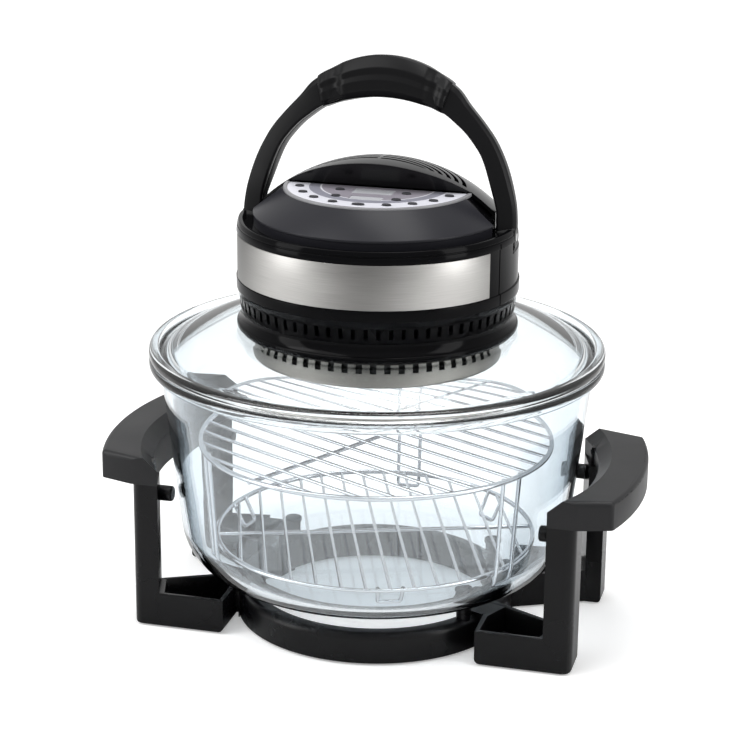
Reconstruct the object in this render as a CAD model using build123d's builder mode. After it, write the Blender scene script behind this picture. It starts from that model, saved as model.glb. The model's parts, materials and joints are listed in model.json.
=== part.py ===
"""Halogen oven: a glass bowl on a four-legged stand, with a lift-off glass lid that carries the
motor head, the halogen heater, the fans, the control panel and a folding carry handle.

Millimetres, +Z up.  The origin is on the table at the middle of the footprint, X runs through
the handle pivots and the two side handles, and the control panel faces -Y.
"""
from build123d import *
from math import asin, atan2, cos, degrees, pi, radians, sin, sqrt, tan
import os

os.makedirs("parts", exist_ok=True)

# ---------------------------------------------------------------- driving dimensions
# Clearances
SEAT_GAP = 0.3          # between pieces of different bodies that rest on each other
RUN_FIT = 0.06          # radial play of a turning pin or shaft
SLIDE_FIT = 0.4         # play round a button or a display window
SOCKET_FIT = 0.2        # play round a tenon, a saddle or a screw

# Stand
LEG_X = 165.5           # outer side of the legs
LEG_Y = 80.0            # front and rear faces of the legs
LEG_FRONT_WIDTH = 21.0
LEG_BACK_WIDTH = 12.5
LEG_DEPTH = 28.5
LEG_CORNER = 8.0
FOOT_LENGTH = 70.5
FOOT_HEIGHT = 27.0
RUBBER_FOOT_HEIGHT = 1.5
RUBBER_FOOT_RADIUS = 6.0
RUBBER_FOOT_SINK = 2.0
RING_OUTER = 104.0
RING_INNER = 88.5
RING_HEIGHT = 23.0
RING_ROUND = 5.5
SADDLE_WALL = 2.2
SADDLE_START = 62.0     # degrees from the front, towards the side
SADDLE_END = 76.0
HANDLE_BOTTOM = 112.0
HANDLE_TOP = 133.0
HANDLE_BULGE_X = 202.0  # outermost point of a side handle
HANDLE_TIP_X = 190.0
HANDLE_TIP_Y = 72.5
HANDLE_INNER_X = 166.0
HANDLE_CHAMFER = 9.3
APRON_DROP = 12.0
APRON_WALL = 3.0
APRON_HALF_LENGTH = 49.0
TENON_WIDTH = 9.0
TENON_DEPTH = 16.0
TENON_HEIGHT = 13.0
SCREW_RADIUS = 1.75
SCREW_HEAD_RADIUS = 3.4
SCREW_HEAD_HEIGHT = 2.4
BUMPER_RADIUS = 5.8
BUMPER_HEIGHT = 102.0
BUMPER_Y = 66.0
BUMPER_GAP = 3.6        # from the bowl's wall to the bumper's tip
REST_RADIUS = 5.5
REST_CIRCLE = 96.5
REST_ANGLE = 57.0       # degrees from the front
REST_PAD_HEIGHT = 3.0

# Bowl and lid glass
RIM_RADIUS = 167.5
BOWL_BOTTOM = 42.0
BOWL_RIM_TOP = 205.0
BOWL_RIM_HEIGHT = 8.0
BOWL_WALL = 5.0
BOWL_FLOOR = 6.0
BOWL_FOOT_RADIUS = 141.7
BOWL_NECK_RADIUS = 159.3
BOWL_CORNER = 38.0
LID_RIM_HEIGHT = 7.7
LID_RIM_WIDTH = 7.0
LID_WALL = 4.5
LID_VALLEY_RADIUS = 158.0
LID_HOLE_RADIUS = 91.6
LID_COLLAR_RADIUS = 104.0
LID_COLLAR_TOP = 226.0
GASKET = 1.2
LID_CROWN_RADIUS = 133.0
LID_CROWN_TOP = 221.0
LID_LIP_RADIUS = 153.3
LID_LIP_WALL = 4.0
LID_LIP_DROP = 6.5

# Racks
WIRE = 1.5              # wire radius
WIRE_FACETS = 10        # sides of a ring wire's section
HIGH_RACK_RADIUS = 131.0
HIGH_RACK_LEVEL = 140.0
HIGH_RACK_FOOT_RADIUS = 123.0
LOW_RACK_RADIUS = 119.0
LOW_RACK_LEVEL = 66.0
LOW_RACK_FOOT_RADIUS = 108.0
RACK_PITCH = 17.0
RACK_LEGS = 3

# Head housing
HEAD_RADIUS = 103.0
HOUSING_BOTTOM = 240.3
HOUSING_TOP = 310.0
HOUSING_WALL = 3.6
TOP_WALL_RADIUS = 101.2
LOWER_TAPER_RADIUS = 100.0
TAPER_TOP = 257.0
DECK_TOP = 303.0
DECK_THICKNESS = 2.5
DECK_HOLE = 58.0
BAND_BOTTOM = 265.2
BAND_TOP = 297.4
BAND_SHEET = 0.9
BAND_HALF_ANGLE = 66.0
VENT_COUNT = 72
VENT_WIDTH = 3.2
VENT_BOTTOM = 244.6
VENT_TOP = 251.4
FLANGE_WALL = 11.0
FLANGE_WAIST = 99.4

# Top of the head
SKIRT_RADIUS = 91.5
SKIRT_EDGE_HEIGHT = 310.4
SKIRT_WALL = 2.2
SKIRT_HALF_ANGLE = 79.0
DOME_SPHERE = 125.0
DOME_TOP = 350.0
DOME_RADIUS = 86.0
DOME_WALL = 2.5
HOOD_Y = -2.0
HOOD_PLATE = 1.2
HOOD_LEAN = 36.0        # degrees the hood's face leans forward over the panel
PANEL_TOP = 328.7
PANEL_SHEET = 1.4
PANEL_RADIUS = 66.0
BEZEL_WIDTH = 3.0
BEZEL_PROUD = 0.6
BUTTON_CIRCLE = 57.0
BUTTON_LENGTH = 6.6
BUTTON_WIDTH = 4.4
START_BUTTON_LENGTH = 9.0
BUTTON_PROUD = 1.1
BUTTON_TRAVEL = 0.8
BUTTON_ANGLES = (-76, -57, -39, -20, 0, 20, 39, 57, 76)
INNER_BUTTONS = ((-24.5, -16.0), (-22.0, -36.0), (24.5, -16.0), (22.0, -36.0))
DISPLAY_SIZE = (30.0, 15.0)
DISPLAY_Y = -15.5
TIMER_SIZE = (24.0, 11.0)
TIMER_Y = -36.5
BOARD_DROP = 9.0        # from the panel's underside to the switch board
BOARD_SHEET = 1.6
TACT_HEIGHT = 3.4       # height of a push switch on the board
VENT_ROWS = (30.0, 41.0, 52.0, 63.0)
VENT_ROW_WIDTH = 5.0
VENT_RIB = 3.0
VENT_FRONT_Y = 9.0
VENT_RIBS = 6

# Carry handle
PIVOT_X = 95.0
PIVOT_Z = 299.0
PIN_RADIUS = 3.0
ARM_WIDTH = 14.0        # along the pin
ARM_HALF_DEPTH = 7.0
EYE_RADIUS = 8.0
HANDLE_LEAN = 10.0      # degrees the handle leans to the rear as it stands
ARCH_RISE = 124.0       # from the pivot to the top of the arch
GRIP_HALF_LENGTH = 50.0
GRIP_HEIGHT = 30.5
GRIP_HALF_DEPTH = 12.5
GRIP_DROOP = 17.5       # the top of the grip falls by this much towards its ends
GRIP_SAG = 9.0          # and its underside by this much
SLOT_FRONT_Y = -9.8
SLOT_REAR_Y = 46.0
SLOT_FLOOR = 289.0

# Heater, fans and motor
GUARD_RADIUS = 89.8
GUARD_SHEET = 0.9
GUARD_BOTTOM = 205.3
GUARD_HOLES = 56
GUARD_HOLE_WIDTH = 4.6
GUARD_HOLE_HEIGHT = 6.4
GUARD_HOLE_LEVEL = 218.0
GRILLE_BAR = 1.3
TUBE_CIRCLE = 60.0
TUBE_RADIUS = 5.0
TUBE_LEVEL = 216.0
TUBE_GAP_ANGLE = 26.0
REFLECTOR_LEVEL = 232.6
SHEET = 1.0
INSULATION = 4.0
SHAFT_RADIUS = 2.5
FAN_RADIUS = 50.0
FAN_LEVEL = 224.5
FAN_BLADES = 6
COOLING_FAN_RADIUS = 44.0
COOLING_FAN_LEVEL = 249.0
COOLING_BLADES = 8
MOTOR_RADIUS = 27.0
MOTOR_BOTTOM = 262.0
MOTOR_TOP = 292.0

# ---------------------------------------------------------------- derived dimensions
LEG_BOTTOM = RUBBER_FOOT_HEIGHT
SADDLE_SCREW_Z = LEG_BOTTOM + 4.4
FOOT_END_X = LEG_X - FOOT_LENGTH
RING_TOP = LEG_BOTTOM + RING_HEIGHT
LID_RIM_BOTTOM = BOWL_RIM_TOP + SEAT_GAP
LID_RIM_TOP = LID_RIM_BOTTOM + LID_RIM_HEIGHT
WALL_SLOPE = (BOWL_NECK_RADIUS - BOWL_FOOT_RADIUS) / (BOWL_RIM_TOP - BOWL_RIM_HEIGHT - BOWL_BOTTOM)
PANEL_BOTTOM = PANEL_TOP - PANEL_SHEET
BEZEL_RADIUS = PANEL_RADIUS + BEZEL_WIDTH
BOARD_TOP = PANEL_BOTTOM - BOARD_DROP
GUARD_TOP = REFLECTOR_LEVEL
FLANGE_BOTTOM = LID_COLLAR_TOP + GASKET
EYE_INNER_X = PIVOT_X - ARM_WIDTH / 2


def finish(piece, name):
    """Label a finished piece and write it out."""
    piece.part.label = name
    export_step(piece.part, f"parts/{name}.step")


def on_circle(radius, angle):
    """A point on a circle; the angle is in degrees from the front (-Y) towards +X."""
    return radius * sin(radians(angle)), -radius * cos(radians(angle))


def bowl_outer_radius(height):
    """Radius of the bowl's outer wall at a height, above its rounded foot."""
    return BOWL_FOOT_RADIUS + (height - BOWL_BOTTOM) * WALL_SLOPE


def dome_height(radius):
    """Height of the dome's outer skin at a radius."""
    return DOME_TOP - DOME_SPHERE + sqrt(DOME_SPHERE ** 2 - radius ** 2)


# ---------------------------------------------------------------- stand: base ring
def ring_section(grow):
    """Cross-section of the base ring in the XZ plane, grown by a clearance on its top and sides."""
    with BuildSketch(Plane.XZ) as section:
        with BuildLine():
            Polyline((RING_INNER - grow, LEG_BOTTOM), (RING_OUTER + grow, LEG_BOTTOM),
                     (RING_OUTER + grow, RING_TOP + grow), (RING_INNER - grow, RING_TOP + grow),
                     close=True)
        make_face()
        fillet(section.vertices().group_by(Axis.Y)[-1], RING_ROUND + grow)
    return section


RING_MIDDLE = (RING_INNER + RING_OUTER) / 2
SADDLE_SCREW_ANGLE = (SADDLE_START + SADDLE_END) / 2

with BuildPart() as base_ring:
    revolve(ring_section(0).sketch, axis=Axis.Z)
    # Groove on the underside, as a moulded ring has
    with BuildSketch(Plane.XY.offset(LEG_BOTTOM)):
        Circle(RING_OUTER - 3.5)
        Circle(RING_INNER + 3.5, mode=Mode.SUBTRACT)
    extrude(amount=2.0, mode=Mode.SUBTRACT)
    # A screw hole under each saddle
    screw_angles = [s * a for a in (SADDLE_SCREW_ANGLE, 180 - SADDLE_SCREW_ANGLE) for s in (1, -1)]
    with Locations([on_circle(RING_MIDDLE, a) for a in screw_angles]):
        Cylinder(SCREW_RADIUS + SOCKET_FIT, 4 * RING_HEIGHT, mode=Mode.SUBTRACT)
        Cylinder(SCREW_HEAD_RADIUS + SOCKET_FIT, 2 * SADDLE_SCREW_Z, mode=Mode.SUBTRACT)
finish(base_ring, "base_ring")


# ---------------------------------------------------------------- stand: legs
def leg_inner_x(y):
    """X of a leg's inner face at a distance y from the middle; it turns with the bowl."""
    return LEG_X - LEG_FRONT_WIDTH + (LEG_Y - y) * (LEG_FRONT_WIDTH - LEG_BACK_WIDTH) / LEG_DEPTH


LEG_INNER_Y = LEG_Y - LEG_DEPTH
TENON_X = LEG_X - LEG_BACK_WIDTH / 2 - 1.5
TENON_Y = LEG_Y - LEG_DEPTH / 2


def front_right_leg():
    """The front right leg: column, foot, the saddle over the ring, and the tenon for the handle."""
    with BuildPart() as leg:
        with BuildSketch(Plane.XY.offset(LEG_BOTTOM)) as column:
            with BuildLine():
                Polyline((LEG_X, -LEG_Y), (LEG_X - LEG_FRONT_WIDTH, -LEG_Y),
                         (LEG_X - LEG_BACK_WIDTH, -LEG_INNER_Y), (LEG_X, -LEG_INNER_Y), close=True)
            make_face()
            fillet(column.vertices().group_by(Axis.X)[-1].sort_by(Axis.Y)[0], LEG_CORNER)
        extrude(amount=HANDLE_BOTTOM - LEG_BOTTOM)
        start = on_circle(RING_OUTER + SADDLE_WALL / 2, SADDLE_START)
        end = on_circle(RING_OUTER, SADDLE_END)
        with BuildSketch(Plane.XY.offset(LEG_BOTTOM)) as foot:
            with BuildLine():
                Polyline((LEG_X, -LEG_Y), (FOOT_END_X, -LEG_Y), (FOOT_END_X, start[1]), start, end,
                         (LEG_X - LEG_BACK_WIDTH, -LEG_INNER_Y), (LEG_X, -LEG_INNER_Y), close=True)
            make_face()
            fillet(foot.vertices().group_by(Axis.X)[-1].sort_by(Axis.Y)[0], LEG_CORNER)
        extrude(amount=FOOT_HEIGHT - LEG_BOTTOM)
        # Saddle: the ring's own section, one wall larger, swept round a short arc
        with BuildSketch(Plane.XZ.rotated((0, 0, SADDLE_START - 90))) as saddle:
            with BuildLine():
                Polyline((RING_INNER - SADDLE_WALL, LEG_BOTTOM), (RING_OUTER + SADDLE_WALL, LEG_BOTTOM),
                         (RING_OUTER + SADDLE_WALL, FOOT_HEIGHT), (RING_INNER - SADDLE_WALL, FOOT_HEIGHT),
                         close=True)
            make_face()
        revolve(axis=Axis.Z, revolution_arc=SADDLE_END - SADDLE_START)
        revolve(ring_section(SOCKET_FIT).sketch, axis=Axis.Z, mode=Mode.SUBTRACT)
        # Tenon into the side handle
        with BuildSketch(Plane.XY.offset(HANDLE_BOTTOM)):
            with Locations((TENON_X, -TENON_Y)):
                Rectangle(TENON_WIDTH, TENON_DEPTH)
        extrude(amount=TENON_HEIGHT)
        # Recess for the rubber foot and the screw hole through the saddle
        foot_at = (LEG_X - FOOT_LENGTH * 0.28, -TENON_Y, LEG_BOTTOM)
        with Locations(foot_at):
            Cylinder(RUBBER_FOOT_RADIUS, RUBBER_FOOT_SINK, mode=Mode.SUBTRACT,
                     align=(Align.CENTER, Align.CENTER, Align.MIN))
        x, y = on_circle(RING_MIDDLE, SADDLE_SCREW_ANGLE)
        with Locations((x, y, RING_TOP)):
            Cylinder(SCREW_RADIUS, 2 * SADDLE_WALL - 1.5, mode=Mode.SUBTRACT)
        # Screw hole in the tenon, from the bowl's side
        with Locations(Location((TENON_X, -TENON_Y, HANDLE_BOTTOM + TENON_HEIGHT / 2), (0, 90, 0))):
            Cylinder(SCREW_RADIUS, TENON_WIDTH * 2, mode=Mode.SUBTRACT)
        # The long edges of the foot are softened
        top_edges = leg.edges().filter_by(Axis.X).filter_by(lambda e: e.center().Z > FOOT_HEIGHT - 0.1
                                                            and e.center().Z < FOOT_HEIGHT + 0.1)
        if top_edges:
            fillet(top_edges, 1.0)
    return leg


leg_front_right = front_right_leg()
with BuildPart() as leg_front_left:
    mirror(leg_front_right.part, about=Plane.YZ)
with BuildPart() as leg_rear_right:
    mirror(leg_front_right.part, about=Plane.XZ)
with BuildPart() as leg_rear_left:
    mirror(leg_rear_right.part, about=Plane.YZ)
finish(leg_front_right, "leg_front_right")
finish(leg_front_left, "leg_front_left")
finish(leg_rear_right, "leg_rear_right")
finish(leg_rear_left, "leg_rear_left")

# ---------------------------------------------------------------- stand: side handles
HANDLE_END_INNER_X = LEG_X - LEG_FRONT_WIDTH

with BuildPart() as side_handle_right:
    with BuildSketch(Plane.XY.offset(HANDLE_BOTTOM)) as crescent:
        with BuildLine():
            ThreePointArc((HANDLE_TIP_X, -HANDLE_TIP_Y), (HANDLE_BULGE_X, 0), (HANDLE_TIP_X, HANDLE_TIP_Y))
            Polyline((HANDLE_TIP_X, HANDLE_TIP_Y), (LEG_X, LEG_Y), (HANDLE_END_INNER_X, LEG_Y))
            ThreePointArc((HANDLE_END_INNER_X, LEG_Y), (HANDLE_INNER_X, 0), (HANDLE_END_INNER_X, -LEG_Y))
            Polyline((HANDLE_END_INNER_X, -LEG_Y), (LEG_X, -LEG_Y), (HANDLE_TIP_X, -HANDLE_TIP_Y))
        make_face()
    extrude(amount=HANDLE_TOP - HANDLE_BOTTOM)
    top = side_handle_right.faces().sort_by(Axis.Z)[-1]
    inner_edge = top.edges().filter_by(GeomType.CIRCLE).sort_by(lambda e: e.center().X)[0]
    chamfer(inner_edge, HANDLE_CHAMFER)
    outer_edge = side_handle_right.faces().sort_by(Axis.Z)[-1].edges().filter_by(
        GeomType.CIRCLE).sort_by(lambda e: e.center().X)[-1]
    fillet(outer_edge, 3.0)
    corners = side_handle_right.edges().filter_by(Axis.Z).group_by(Axis.X)[-1]
    fillet(corners, 4.0)
    # Apron that hangs from the inner side, between the legs
    with BuildSketch(Plane.XY.offset(HANDLE_BOTTOM - APRON_DROP)) as apron:
        with BuildLine() as apron_line:
            ThreePointArc((HANDLE_END_INNER_X, -LEG_Y), (HANDLE_INNER_X, 0), (HANDLE_END_INNER_X, LEG_Y))
            offset(amount=APRON_WALL, side=Side.RIGHT, closed=True)
        make_face()
        with Locations((HANDLE_INNER_X, 0)):
            Rectangle(4 * APRON_WALL + 20, 2 * APRON_HALF_LENGTH, mode=Mode.INTERSECT)
    extrude(amount=APRON_DROP)
    # Sockets for the tenons and their screws
    with Locations((TENON_X, -TENON_Y, HANDLE_BOTTOM), (TENON_X, TENON_Y, HANDLE_BOTTOM)):
        Box(TENON_WIDTH + 2 * SOCKET_FIT, TENON_DEPTH + 2 * SOCKET_FIT, TENON_HEIGHT + SOCKET_FIT,
            align=(Align.CENTER, Align.CENTER, Align.MIN), mode=Mode.SUBTRACT)
    screw_z = HANDLE_BOTTOM + TENON_HEIGHT / 2
    with Locations(Location((TENON_X, -TENON_Y, screw_z), (0, -90, 0)),
                   Location((TENON_X, TENON_Y, screw_z), (0, -90, 0))):
        Cylinder(SCREW_RADIUS + SOCKET_FIT, LEG_FRONT_WIDTH, mode=Mode.SUBTRACT,
                 align=(Align.CENTER, Align.CENTER, Align.MIN))
with BuildPart() as side_handle_left:
    mirror(side_handle_right.part, about=Plane.YZ)
finish(side_handle_right, "side_handle_right")
finish(side_handle_left, "side_handle_left")

# ---------------------------------------------------------------- stand: small pieces
CORNERS = [(sx, sy) for sx in (1, -1) for sy in (1, -1)]
bumper_root_x = leg_inner_x(BUMPER_Y)
bumper_tip_x = sqrt((bowl_outer_radius(BUMPER_HEIGHT) + BUMPER_GAP) ** 2 - BUMPER_Y ** 2)

with BuildPart() as bowl_bumpers:
    for sx, sy in CORNERS:
        with BuildSketch(Plane((sx * bumper_tip_x, sy * BUMPER_Y, BUMPER_HEIGHT), z_dir=(sx, 0, 0))):
            Circle(BUMPER_RADIUS)
        extrude(amount=bumper_root_x - bumper_tip_x)
    # Cut each root to the slanted face of its leg, and round its tip
    for leg in (leg_front_left, leg_front_right, leg_rear_left, leg_rear_right):
        add(leg.part, mode=Mode.SUBTRACT)
    tips = bowl_bumpers.edges().filter_by(GeomType.CIRCLE).filter_by(
        lambda e: abs(abs(e.center().X) - bumper_tip_x) < 0.1)
    fillet(tips, 1.8)
finish(bowl_bumpers, "bowl_bumpers")

REST_ROOT = RING_TOP - RING_ROUND / 2
REST_TOP = BOWL_BOTTOM - SEAT_GAP
rest_places = [on_circle(REST_CIRCLE, s * a) for a in (REST_ANGLE, 180 - REST_ANGLE) for s in (1, -1)]

with BuildPart() as bowl_rests:
    with Locations([(x, y, REST_ROOT) for x, y in rest_places]):
        Cylinder(REST_RADIUS, REST_TOP - REST_PAD_HEIGHT - REST_ROOT,
                 align=(Align.CENTER, Align.CENTER, Align.MIN))
    # Each rest is shaped to the rounded top of the ring that carries it
    add(base_ring.part, mode=Mode.SUBTRACT)
finish(bowl_rests, "bowl_rests")

with BuildPart() as rest_pads:
    with Locations([(x, y, REST_TOP - REST_PAD_HEIGHT) for x, y in rest_places]):
        Cylinder(REST_RADIUS + 1.0, REST_PAD_HEIGHT, align=(Align.CENTER, Align.CENTER, Align.MIN))
    fillet(rest_pads.edges().group_by(Axis.Z)[-1], 0.8)
finish(rest_pads, "rest_pads")

with BuildPart() as rubber_feet:
    with Locations([(sx * (LEG_X - FOOT_LENGTH * 0.28), sy * TENON_Y, 0) for sx, sy in CORNERS]):
        Cylinder(RUBBER_FOOT_RADIUS, RUBBER_FOOT_HEIGHT + RUBBER_FOOT_SINK / 2,
                 align=(Align.CENTER, Align.CENTER, Align.MIN))
finish(rubber_feet, "rubber_feet")


def pan_head_screw(length):
    """A pan-head screw at the origin: head below, shank pointing up along +Z."""
    with BuildPart() as screw:
        Cylinder(SCREW_HEAD_RADIUS, SCREW_HEAD_HEIGHT, align=(Align.CENTER, Align.CENTER, Align.MAX))
        fillet(screw.edges().group_by(Axis.Z)[0], 0.9)
        Cylinder(SCREW_RADIUS - 0.05, length, align=(Align.CENTER, Align.CENTER, Align.MIN))
        with Locations((0, 0, -SCREW_HEAD_HEIGHT)):
            Box(0.8, 3.6, 1.6, mode=Mode.SUBTRACT)
            Box(3.6, 0.8, 1.6, mode=Mode.SUBTRACT)
    return screw.part


saddle_screw = pan_head_screw(RING_HEIGHT - 4.0)
with BuildPart() as stand_screws:
    for angle in screw_angles:
        x, y = on_circle(RING_MIDDLE, angle)
        add(saddle_screw.moved(Location((x, y, SADDLE_SCREW_Z))))
finish(stand_screws, "stand_screws")

# ---------------------------------------------------------------- glass bowl
NECK_Z = BOWL_RIM_TOP - BOWL_RIM_HEIGHT

with BuildPart() as glass_bowl:
    with BuildSketch(Plane.XZ) as outside:
        with BuildLine():
            Polyline((0, BOWL_BOTTOM), (BOWL_FOOT_RADIUS, BOWL_BOTTOM), (BOWL_NECK_RADIUS, NECK_Z),
                     (RIM_RADIUS, NECK_Z + 1.2), (RIM_RADIUS, BOWL_RIM_TOP), (0, BOWL_RIM_TOP), close=True)
        make_face()
        foot_corner = outside.vertices().sort_by(Axis.Y).group_by(Axis.Y)[0].sort_by(Axis.X)[-1]
        fillet(foot_corner, BOWL_CORNER)
        fillet(outside.vertices().group_by(Axis.X)[-1], 3.0)
    revolve(axis=Axis.Z)
    with BuildSketch(Plane.XZ) as inside:
        with BuildLine():
            floor = BOWL_BOTTOM + BOWL_FLOOR
            foot_inner = bowl_outer_radius(floor) - BOWL_WALL
            rim_inner = bowl_outer_radius(BOWL_RIM_TOP) - BOWL_WALL
            Polyline((0, floor), (foot_inner, floor), (rim_inner, BOWL_RIM_TOP),
                     (rim_inner, BOWL_RIM_TOP + 5), (0, BOWL_RIM_TOP + 5), close=True)
        make_face()
        fillet(inside.vertices().group_by(Axis.Y)[0].sort_by(Axis.X)[-1], BOWL_CORNER - BOWL_WALL)
    revolve(axis=Axis.Z, mode=Mode.SUBTRACT)
finish(glass_bowl, "glass_bowl")

# ---------------------------------------------------------------- glass lid
LID_LIP_BOTTOM = LID_RIM_BOTTOM - LID_LIP_DROP

with BuildPart() as glass_lid:
    with BuildSketch(Plane.XZ) as lid_section:
        with BuildLine():
            inner_rim = RIM_RADIUS - LID_RIM_WIDTH
            valley_z = LID_RIM_TOP - 4.2
            Polyline((LID_VALLEY_RADIUS, valley_z), (inner_rim, LID_RIM_TOP), (RIM_RADIUS, LID_RIM_TOP),
                     (RIM_RADIUS, LID_RIM_BOTTOM), (LID_LIP_RADIUS, LID_RIM_BOTTOM),
                     (LID_LIP_RADIUS, LID_LIP_BOTTOM), (LID_LIP_RADIUS - LID_LIP_WALL, LID_LIP_BOTTOM),
                     (LID_LIP_RADIUS - LID_LIP_WALL, valley_z - LID_WALL + 1.5))
            ThreePointArc((LID_LIP_RADIUS - LID_LIP_WALL, valley_z - LID_WALL + 1.5),
                          (LID_CROWN_RADIUS - 2, LID_CROWN_TOP - LID_WALL),
                          (LID_COLLAR_RADIUS, LID_COLLAR_TOP - LID_WALL))
            Polyline((LID_COLLAR_RADIUS, LID_COLLAR_TOP - LID_WALL), (LID_HOLE_RADIUS, LID_COLLAR_TOP - LID_WALL),
                     (LID_HOLE_RADIUS, LID_COLLAR_TOP), (LID_COLLAR_RADIUS, LID_COLLAR_TOP))
            ThreePointArc((LID_COLLAR_RADIUS, LID_COLLAR_TOP), (LID_CROWN_RADIUS, LID_CROWN_TOP),
                          (LID_VALLEY_RADIUS, valley_z))
        make_face()
        fillet(lid_section.vertices().group_by(Axis.X)[-1], 2.8)
    revolve(axis=Axis.Z)
finish(glass_lid, "glass_lid")


# ---------------------------------------------------------------- racks
def rod(first, second, radius):
    """A straight round rod between two points."""
    run = Vector(second) - Vector(first)
    with BuildPart() as straight:
        with BuildSketch(Plane(origin=first, z_dir=run)):
            Circle(radius)
        extrude(amount=run.length)
    return straight.part


def wire_rack(radius, level, foot_radius, pitch, turn):
    """A round wire rack: rim, parallel grid wires with one cross wire, and bent wire feet."""
    with BuildPart() as rack:
        with BuildSketch(Plane.XZ):
            with Locations((radius, level)):
                RegularPolygon(WIRE * 1.25, WIRE_FACETS)
        revolve(axis=Axis.Z)
        # Parallel wires reach from rim to rim
        count = int(radius / pitch)
        for step in range(-count, count + 1):
            reach = sqrt(radius ** 2 - (step * pitch) ** 2)
            if reach > pitch:
                along = Plane.YZ.rotated((0, 0, turn))
                start = along.from_local_coords((step * pitch, level, -reach))
                with BuildSketch(Plane(origin=start, z_dir=along.z_dir)):
                    Circle(WIRE * 0.8)
                extrude(amount=2 * reach)
        cross = Plane.XZ.rotated((0, 0, turn))
        start = cross.from_local_coords((0, level - 1.5 * WIRE, -radius + 0.2))
        with BuildSketch(Plane(origin=start, z_dir=cross.z_dir)):
            Circle(WIRE)
        extrude(amount=2 * radius - 0.4)
        # Feet: a U of wire on each of three sides
        for leg in range(RACK_LEGS):
            angle = radians(turn + 30 + leg * 360 / RACK_LEGS)
            spread = 9 / radius
            rim_spot = (radius - WIRE, level + 1.4 * WIRE)
            foot_spot = (foot_radius, foot_level(foot_radius))
            corners = [Vector(r * cos(a), r * sin(a), z)
                       for (r, z), a in ((rim_spot, angle - spread), (foot_spot, angle - spread),
                                         (foot_spot, angle + spread), (rim_spot, angle + spread))]
            for first, second in zip(corners, corners[1:]):
                add(rod(first, second, WIRE))
            with Locations(corners[1], corners[2]):
                Sphere(WIRE)
    return rack


def foot_level(radius):
    """Height of a rack wire's middle where it stands on the bowl's inner surface."""
    floor = BOWL_BOTTOM + BOWL_FLOOR
    bend = BOWL_CORNER - BOWL_WALL
    bend_start = bowl_outer_radius(floor) - BOWL_WALL - bend * 0.9
    rise = max(radius + WIRE - bend_start, 0)
    lift = bend - sqrt(bend ** 2 - rise ** 2)
    return floor + lift + WIRE + SEAT_GAP


high_rack = wire_rack(HIGH_RACK_RADIUS, HIGH_RACK_LEVEL, HIGH_RACK_FOOT_RADIUS, RACK_PITCH, 62)
finish(high_rack, "high_rack")
low_rack = wire_rack(LOW_RACK_RADIUS, LOW_RACK_LEVEL, LOW_RACK_FOOT_RADIUS, RACK_PITCH, 20)
finish(low_rack, "low_rack")

# ---------------------------------------------------------------- head: flange, housing, band
HOUSING_FLOOR = VENT_BOTTOM - 1.5
HOUSING_SCREW_LENGTH = 9.0
HOUSING_SCREW_CIRCLE = 93.5
housing_screw_places = [on_circle(HOUSING_SCREW_CIRCLE, a) for a in (45, 135, 225, 315)]

with BuildPart() as lower_flange:
    with BuildSketch(Plane.XZ):
        with BuildLine():
            bead_top = FLANGE_BOTTOM + 4.6
            Polyline((HEAD_RADIUS - 1.2, FLANGE_BOTTOM), (HEAD_RADIUS - 0.2, FLANGE_BOTTOM + 1.2),
                     (HEAD_RADIUS - 0.2, bead_top - 1.0), (HEAD_RADIUS - 1.2, bead_top))
            ThreePointArc((HEAD_RADIUS - 1.2, bead_top), (FLANGE_WAIST, (bead_top + HOUSING_BOTTOM) / 2),
                          (LOWER_TAPER_RADIUS - 1.0, HOUSING_BOTTOM))
            Polyline((LOWER_TAPER_RADIUS - 1.0, HOUSING_BOTTOM), (GUARD_RADIUS + 1.2, HOUSING_BOTTOM),
                     (GUARD_RADIUS + 1.2, FLANGE_BOTTOM), (HEAD_RADIUS - 1.2, FLANGE_BOTTOM))
        make_face()
    revolve(axis=Axis.Z)
    with Locations([(x, y, HOUSING_BOTTOM) for x, y in housing_screw_places]):
        Cylinder(SCREW_RADIUS, 2 * HOUSING_SCREW_LENGTH, mode=Mode.SUBTRACT)
finish(lower_flange, "lower_flange")

BAND_SEAT = HEAD_RADIUS - BAND_SHEET - 0.2


def handle_slot(side):
    """Angular sector of the pocket that a carry-handle arm swings in, in degrees from the front."""
    front = 90 + degrees(asin(SLOT_FRONT_Y / TOP_WALL_RADIUS))
    rear = 90 + degrees(asin(SLOT_REAR_Y / TOP_WALL_RADIUS))
    return (front, rear) if side > 0 else (-rear, -front)


def sector_sketch(outer, inner, start, end):
    """Annular sector on the XY plane; angles in degrees from the front, towards +X."""
    with BuildSketch() as sector:
        with BuildLine():
            middle = (start + end) / 2
            ThreePointArc(on_circle(outer, start), on_circle(outer, middle), on_circle(outer, end))
            Line(on_circle(outer, end), on_circle(inner, end))
            ThreePointArc(on_circle(inner, end), on_circle(inner, middle), on_circle(inner, start))
            Line(on_circle(inner, start), on_circle(outer, start))
        make_face()
    return sector.sketch


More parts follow.
